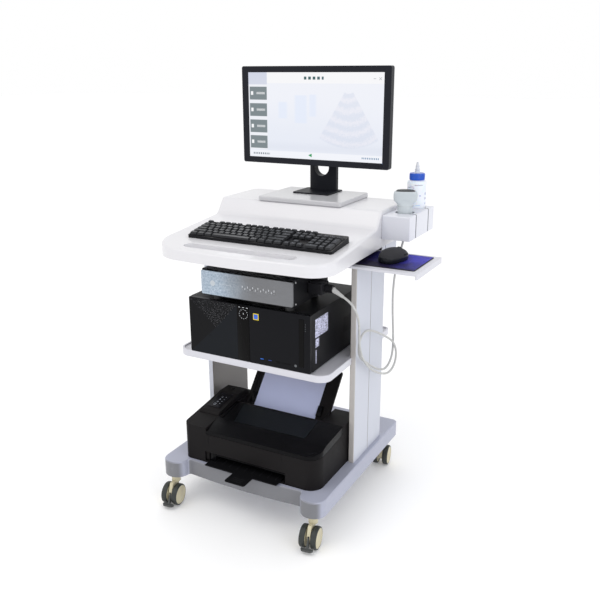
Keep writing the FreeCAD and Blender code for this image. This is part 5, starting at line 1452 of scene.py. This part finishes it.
mouseValues = {
    "place": (0.322, 0.046), "yaw": -14.0, "domeFrom": 0.0150,
    # height, half width, half length, squareness and backward shift of each section
    "sections": [
        (0.0000, 0.0268, 0.0462, 2.6, 0.0000), (0.0014, 0.0284, 0.0482, 2.6, 0.0000),
        (0.0070, 0.0298, 0.0497, 2.5, 0.0000), (0.0140, 0.0297, 0.0493, 2.4, 0.0004),
        (0.0200, 0.0284, 0.0468, 2.3, 0.0020), (0.0250, 0.0258, 0.0424, 2.25, 0.0040),
        (0.0290, 0.0220, 0.0366, 2.2, 0.0060), (0.0320, 0.0174, 0.0294, 2.1, 0.0074),
        (0.0341, 0.0124, 0.0212, 2.0, 0.0084), (0.0353, 0.0074, 0.0128, 2.0, 0.0090),
        (0.0358, 0.0028, 0.0048, 2.0, 0.0092),
    ],
    "pocket": (0.0080, 0.0162), "ridge": 0.0054,
    "button": (0.0085, 0.0192), "buttonInner": 0.0059,
    "well": (0.0035, 0.0115, 0.0365, 0.0100),
}


def smoothed(shape, apart, cuts, strength):
    # rounds a loft between its sections, where these lie at different heights
    bmesh.ops.recalc_face_normals(shape, faces=shape.faces)
    edges = [edge for edge in shape.edges
             if len(edge.link_faces) == 2 and abs(edge.verts[0].co.z - edge.verts[1].co.z) > apart]
    bmesh.ops.subdivide_edges(shape, edges=edges, cuts=cuts, use_grid_fill=True, smooth=strength)


def makeMouse(values):
    turn = Matrix.Rotation(math.radians(values["yaw"]), 3, "Z")
    base = at(*values["place"], span("mouse_body")[0].z)

    def dome():
        shape = bmesh.new()
        loftMesh(shape, [[base + turn @ (point + Vector((0, -shift, height)))
                          for point in superRing(halfX, halfY, power, 72)]
                         for height, halfX, halfY, power, shift in values["sections"]])
        smoothed(shape, 0.0004, 2, 0.7)
        return finishMesh(shape, "mouseDome")

    def tool(*boxes):
        shape = bmesh.new()
        for low, high in boxes:
            for vert in blockMesh(shape, low, high):
                vert.co = base + turn @ (vert.co - trolleyZero)
        return toMesh(shape, "mouseTool")

    pocketY, pocketZ = values["pocket"]
    ridge = values["ridge"]
    wellX, wellFrom, wellTo, wellZ = values["well"]
    hollowed = cutBy(dome(), tool(((-0.06, pocketY, pocketZ), (-ridge, 0.08, 0.05)),
                                  ((ridge, pocketY, pocketZ), (0.06, 0.08, 0.05)),
                                  ((-wellX, wellFrom, wellZ), (wellX, wellTo, 0.05))))
    buttonY, buttonZ = values["button"]
    shells = [("mouse_body", "mouse", hollowed)]
    for node, side in (("mouse_button_left", -1), ("mouse_button_right", 1)):
        left, right = sorted((values["buttonInner"] * side, 0.06 * side))
        shells.append((node, body_of(nodes[node])[0],
                       cutBy(dome(), tool(((left, buttonY, buttonZ), (right, 0.08, 0.05))), "INTERSECT")))
    for node, body, mesh in shells:
        coat(mesh, "mouseGloss", "mouseDome")
        mesh.shade_smooth()
        mesh.set_sharp_from_angle(angle=math.radians(32))
        for face in mesh.polygons:
            face.material_index = int(face.center.z - base.z > values["domeFrom"] and face.normal.z > 0.12)
        addPiece(node + "Shell", mesh, body, "mouse_shell", "mouseGloss", node)


makeMouse(mouseValues)
print("holder and mouse made")


# Probe: lofted head on a round handle

probeValues = {
    "yaw": 22.0, "center": (0.301, 0.178),
    # height, half width, half depth, squareness of each section
    "sections": [
        (0.7856, 0.0180, 0.0180, 2.0), (0.7880, 0.0205, 0.0205, 2.0), (0.8200, 0.0210, 0.0210, 2.0),
        (0.8440, 0.0208, 0.0205, 2.1), (0.8560, 0.0208, 0.0186, 2.2), (0.8625, 0.0226, 0.0166, 2.4),
        (0.8680, 0.0280, 0.0155, 2.6), (0.8735, 0.0319, 0.0150, 2.8), (0.8810, 0.0329, 0.0149, 3.0),
        (0.8890, 0.0328, 0.0149, 3.4), (0.8945, 0.0318, 0.0148, 3.8), (0.8970, 0.0300, 0.0143, 3.8),
        (0.8979, 0.0286, 0.0134, 3.6),
    ],
    "lens": [(0.8972, 0.0262, 0.0122, 3.4), (0.8996, 0.0258, 0.0119, 3.4), (0.9016, 0.0225, 0.0108, 3.2),
             (0.9027, 0.0150, 0.0085, 2.8)],
    "seam": [(0.8566, 0.0224, 0.0180, 2.3), (0.8570, 0.0229, 0.0183, 2.3), (0.8576, 0.0231, 0.0182, 2.3),
             (0.8580, 0.0228, 0.0176, 2.3)],
    "thumb": (0.868, 0.0125, 0.0095, 0.0014),
}


def makeProbe(values):
    turn = Matrix.Rotation(math.radians(values["yaw"]), 3, "Z")
    centerX, centerY = values["center"]

    def sectionRings(sections):
        return [[at(centerX, centerY, height) + turn @ point for point in superRing(halfX, halfY, power, 72)]
                for height, halfX, halfY, power in sections]

    shape = bmesh.new()
    loftMesh(shape, sectionRings(values["sections"]))
    smoothed(shape, 0.001, 3, 0.6)
    # a soft oval for the thumb on both faces
    height, halfX, halfZ, depth = values["thumb"]
    back = turn.inverted()
    for vert in shape.verts:
        local = back @ (vert.co - at(centerX, centerY, 0))
        reach = math.hypot(local.x / halfX, (local.z - height) / halfZ)
        if reach < 1 and abs(local.y) > 0.006:
            local.y -= math.copysign(depth * (1 - reach * reach), local.y)
            vert.co = at(centerX, centerY, 0) + turn @ local
    addPiece("probeShell", finishMesh(shape, "probeShell", 60), "probe", "probe_grey", "probeGrey",
             "probe_body")
    shape = bmesh.new()
    loftMesh(shape, sectionRings(values["lens"]))
    addPiece("probeFace", finishMesh(shape, "probeFace", 60), "probe", "probe_lens", "lensGrey", "probe_lens")
    shape = bmesh.new()
    loftMesh(shape, sectionRings(values["seam"]))
    addPiece("probeSeam", finishMesh(shape, "probeSeam", 60), "probe", "probe_grey", "seamGrey")


makeProbe(probeValues)


# Gel bottle, cap and nozzle

bottleValues = {
    "center": (0.301, 0.268),
    # radius and height of the body's line, then the cap's and the nozzle's
    "body": [(0.0240, 0.7856), (0.0266, 0.7880), (0.0270, 0.7920), (0.0270, 0.8990), (0.0267, 0.9030),
             (0.0270, 0.9060), (0.0269, 0.9110), (0.0262, 0.9140), (0.0235, 0.9160), (0.0206, 0.9168),
             (0.0196, 0.9180)],
    "cap": [(0.0202, 0.9184), (0.0214, 0.9188), (0.0214, 0.9355), (0.0206, 0.9370), (0.0190, 0.9372)],
    "nozzle": [(0.0082, 0.9366), (0.0080, 0.9385), (0.0070, 0.9400), (0.0066, 0.9450), (0.0072, 0.9460),
               (0.0072, 0.9480), (0.0058, 0.9490), (0.0050, 0.9550), (0.0056, 0.9558), (0.0056, 0.9575),
               (0.0040, 0.9585), (0.0032, 0.9660), (0.0024, 0.9682)],
    "ribs": 48, "ribHeight": 0.9272, "ribRadius": 0.0214,
    # low, high, first and last angle, and colour of each row of print
    "print": [
        (0.9043, 0.9070, -1.48, -0.57, (62, 78, 108)), (0.8966, 0.8990, -2.45, -1.50, (48, 54, 84)),
        (0.9010, 0.9024, -2.10, -1.60, (96, 108, 140)), (0.8742, 0.8772, -0.95, -0.76, (32, 74, 170)),
        (0.8770, 0.8835, -0.22, 0.10, (44, 50, 140)), (0.8640, 0.8705, -0.22, 0.10, (60, 48, 150)),
        (0.8505, 0.8550, -0.22, 0.10, (84, 130, 190)), (0.8468, 0.8494, -1.30, -0.82, (132, 184, 232)),
    ],
}


def bottlePlastic(values):
    # translucent white with blue and dark print bars
    bottle = Finish("bottlePlastic", Subsurface_Weight=0.12, Coat_Weight=0.15)
    x, y, z = localAxes(bottle)
    centerX, centerY = values["center"]
    around = x.math("ARCTAN2", y - centerY, x - centerX)
    clouds = bottle.noise(40.0, 3.0, 0.5)
    color = bottle.mix(clouds, srgb(218, 225, 235), srgb(230, 235, 243))
    for low, high, start, end, tint in values["print"]:
        strokes = bottle.step((around * 95.0).sine(), -0.25, 0.25)
        color = bottle.mix(bottle.box(around, z, (start, end), (low, high), 0.0004) * strokes, color,
                           srgb(*tint))
    bottle.feed("Base Color", color)
    bottle.feed("Roughness", 0.34 + (clouds - 0.5) * 0.16)
    bottle.bump(clouds, 0.05, 0.0004)
    return bottle.material


def makeBottle(values):
    center = at(*values["center"], 0)
    for name, line, body, slot, material, node, steps in (
            ("bottleBody", "body", "bottle", "bottle_white", bottlePlastic(values), "gel_bottle", 64),
            ("capBody", "cap", "cap", "cap_blue", "capBlue", "bottle_cap", 64),
            ("nozzle", "nozzle", "cap", "cap_blue", "nozzleWhite", "bottle_cap", 40)):
        lathe(name, values[line], center, Vector((0, 0, 1)), body, slot, material, node, steps=steps)
    repeated("capRibs", "ring", patternBlock(0.0008, 0.0014, 0.0142, 0.0003), "capBlue",
             Matrix.Translation(center + Vector((0, 0, values["ribHeight"]))), "cap", "cap_blue",
             Count=values["ribs"], Radius=values["ribRadius"])


makeBottle(bottleValues)
print("probe and bottle made")


# Cable of the probe

cableValues = {
    "radius": 0.0031, "length": 1.38,
    "reliefStart": (0.212, -0.094, 0.6735), "droop": 28, "reliefLength": 0.032, "firstRun": 0.024,
    "bendFrom": (0.280, 0.120, 0.600), "bendTo": (0.300, 0.178, 0.764),
}
cableTurns = [
    (0.273, -0.087, 0.624), (0.276, -0.073, 0.598), (0.274, -0.060, 0.564), (0.271, -0.053, 0.522),
    (0.271, -0.037, 0.480), (0.274, -0.008, 0.444), (0.278, 0.033, 0.411), (0.283, 0.080, 0.386),
    (0.289, 0.126, 0.371), (0.293, 0.164, 0.386), (0.293, 0.176, 0.424), (0.288, 0.158, 0.460),
    (0.280, 0.118, 0.487), (0.272, 0.076, 0.511), (0.266, 0.036, 0.530), (0.262, 0.003, 0.537),
    (0.260, -0.022, 0.523), (0.259, -0.031, 0.494), (0.260, -0.020, 0.465), (0.263, 0.008, 0.446),
    (0.266, 0.046, 0.419), (0.271, 0.088, 0.394), (0.276, 0.132, 0.379), (0.280, 0.168, 0.399),
    (0.282, 0.175, 0.444), (0.281, 0.171, 0.500), (0.280, 0.163, 0.562), (0.281, 0.160, 0.626),
    (0.286, 0.165, 0.686), (0.296, 0.174, 0.737), (0.301, 0.178, 0.764), (0.301, 0.178, 0.7853),
]


def makeCable(values, turns):
    droop = math.radians(values["droop"])
    axis = Vector((math.cos(droop), 0, -math.sin(droop)))
    start = at(*values["reliefStart"]) + axis * values["reliefLength"]
    route = [start, start + axis * values["firstRun"]] + [at(*turn) for turn in turns]
    data = bpy.data.curves.new("probeCable", "CURVE")
    data.dimensions = "3D"
    data.resolution_u = 10
    spline = data.splines.new("NURBS")
    spline.points.add(len(route) - 1)
    for point, place in zip(spline.points, route):
        point.co = (*place, 1)
    spline.order_u = 3
    spline.use_endpoint_u = True
    curve = linked("probeCableRoute", data)
    bpy.context.view_layer.update()
    path = [vert.co.copy() for vert in applied(curve).vertices]
    data.bevel_depth = values["radius"]
    data.bevel_resolution = 4
    data.use_fill_caps = True
    bpy.context.view_layer.update()
    mesh = applied(curve)
    bpy.data.objects.remove(curve)
    mesh.shade_smooth()
    coat(mesh, "cableGrey")
    tube = linked("probeCable", mesh)
    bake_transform(tube, "trolley", "probe", at(*values["bendFrom"]), at(*values["bendTo"]))
    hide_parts("probe_cable")


makeCable(cableValues, cableTurns)
print("cable made")


# Floor

def makeFloor(size=60.0):
    half = size / 2
    mesh = bpy.data.meshes.new("floor")
    outline = [(-half, -half, 0), (half, -half, 0), (half, half, 0), (-half, half, 0)]
    mesh.from_pydata(outline, [], [(0, 1, 2, 3)])
    mesh.materials.append(mouldedPlastic("floorPaper", (0.93, 0.93, 0.935), 0.8, grain=0.02, shift=0.004,
                                         glow=0.08))
    linked("floor", mesh)


makeFloor()
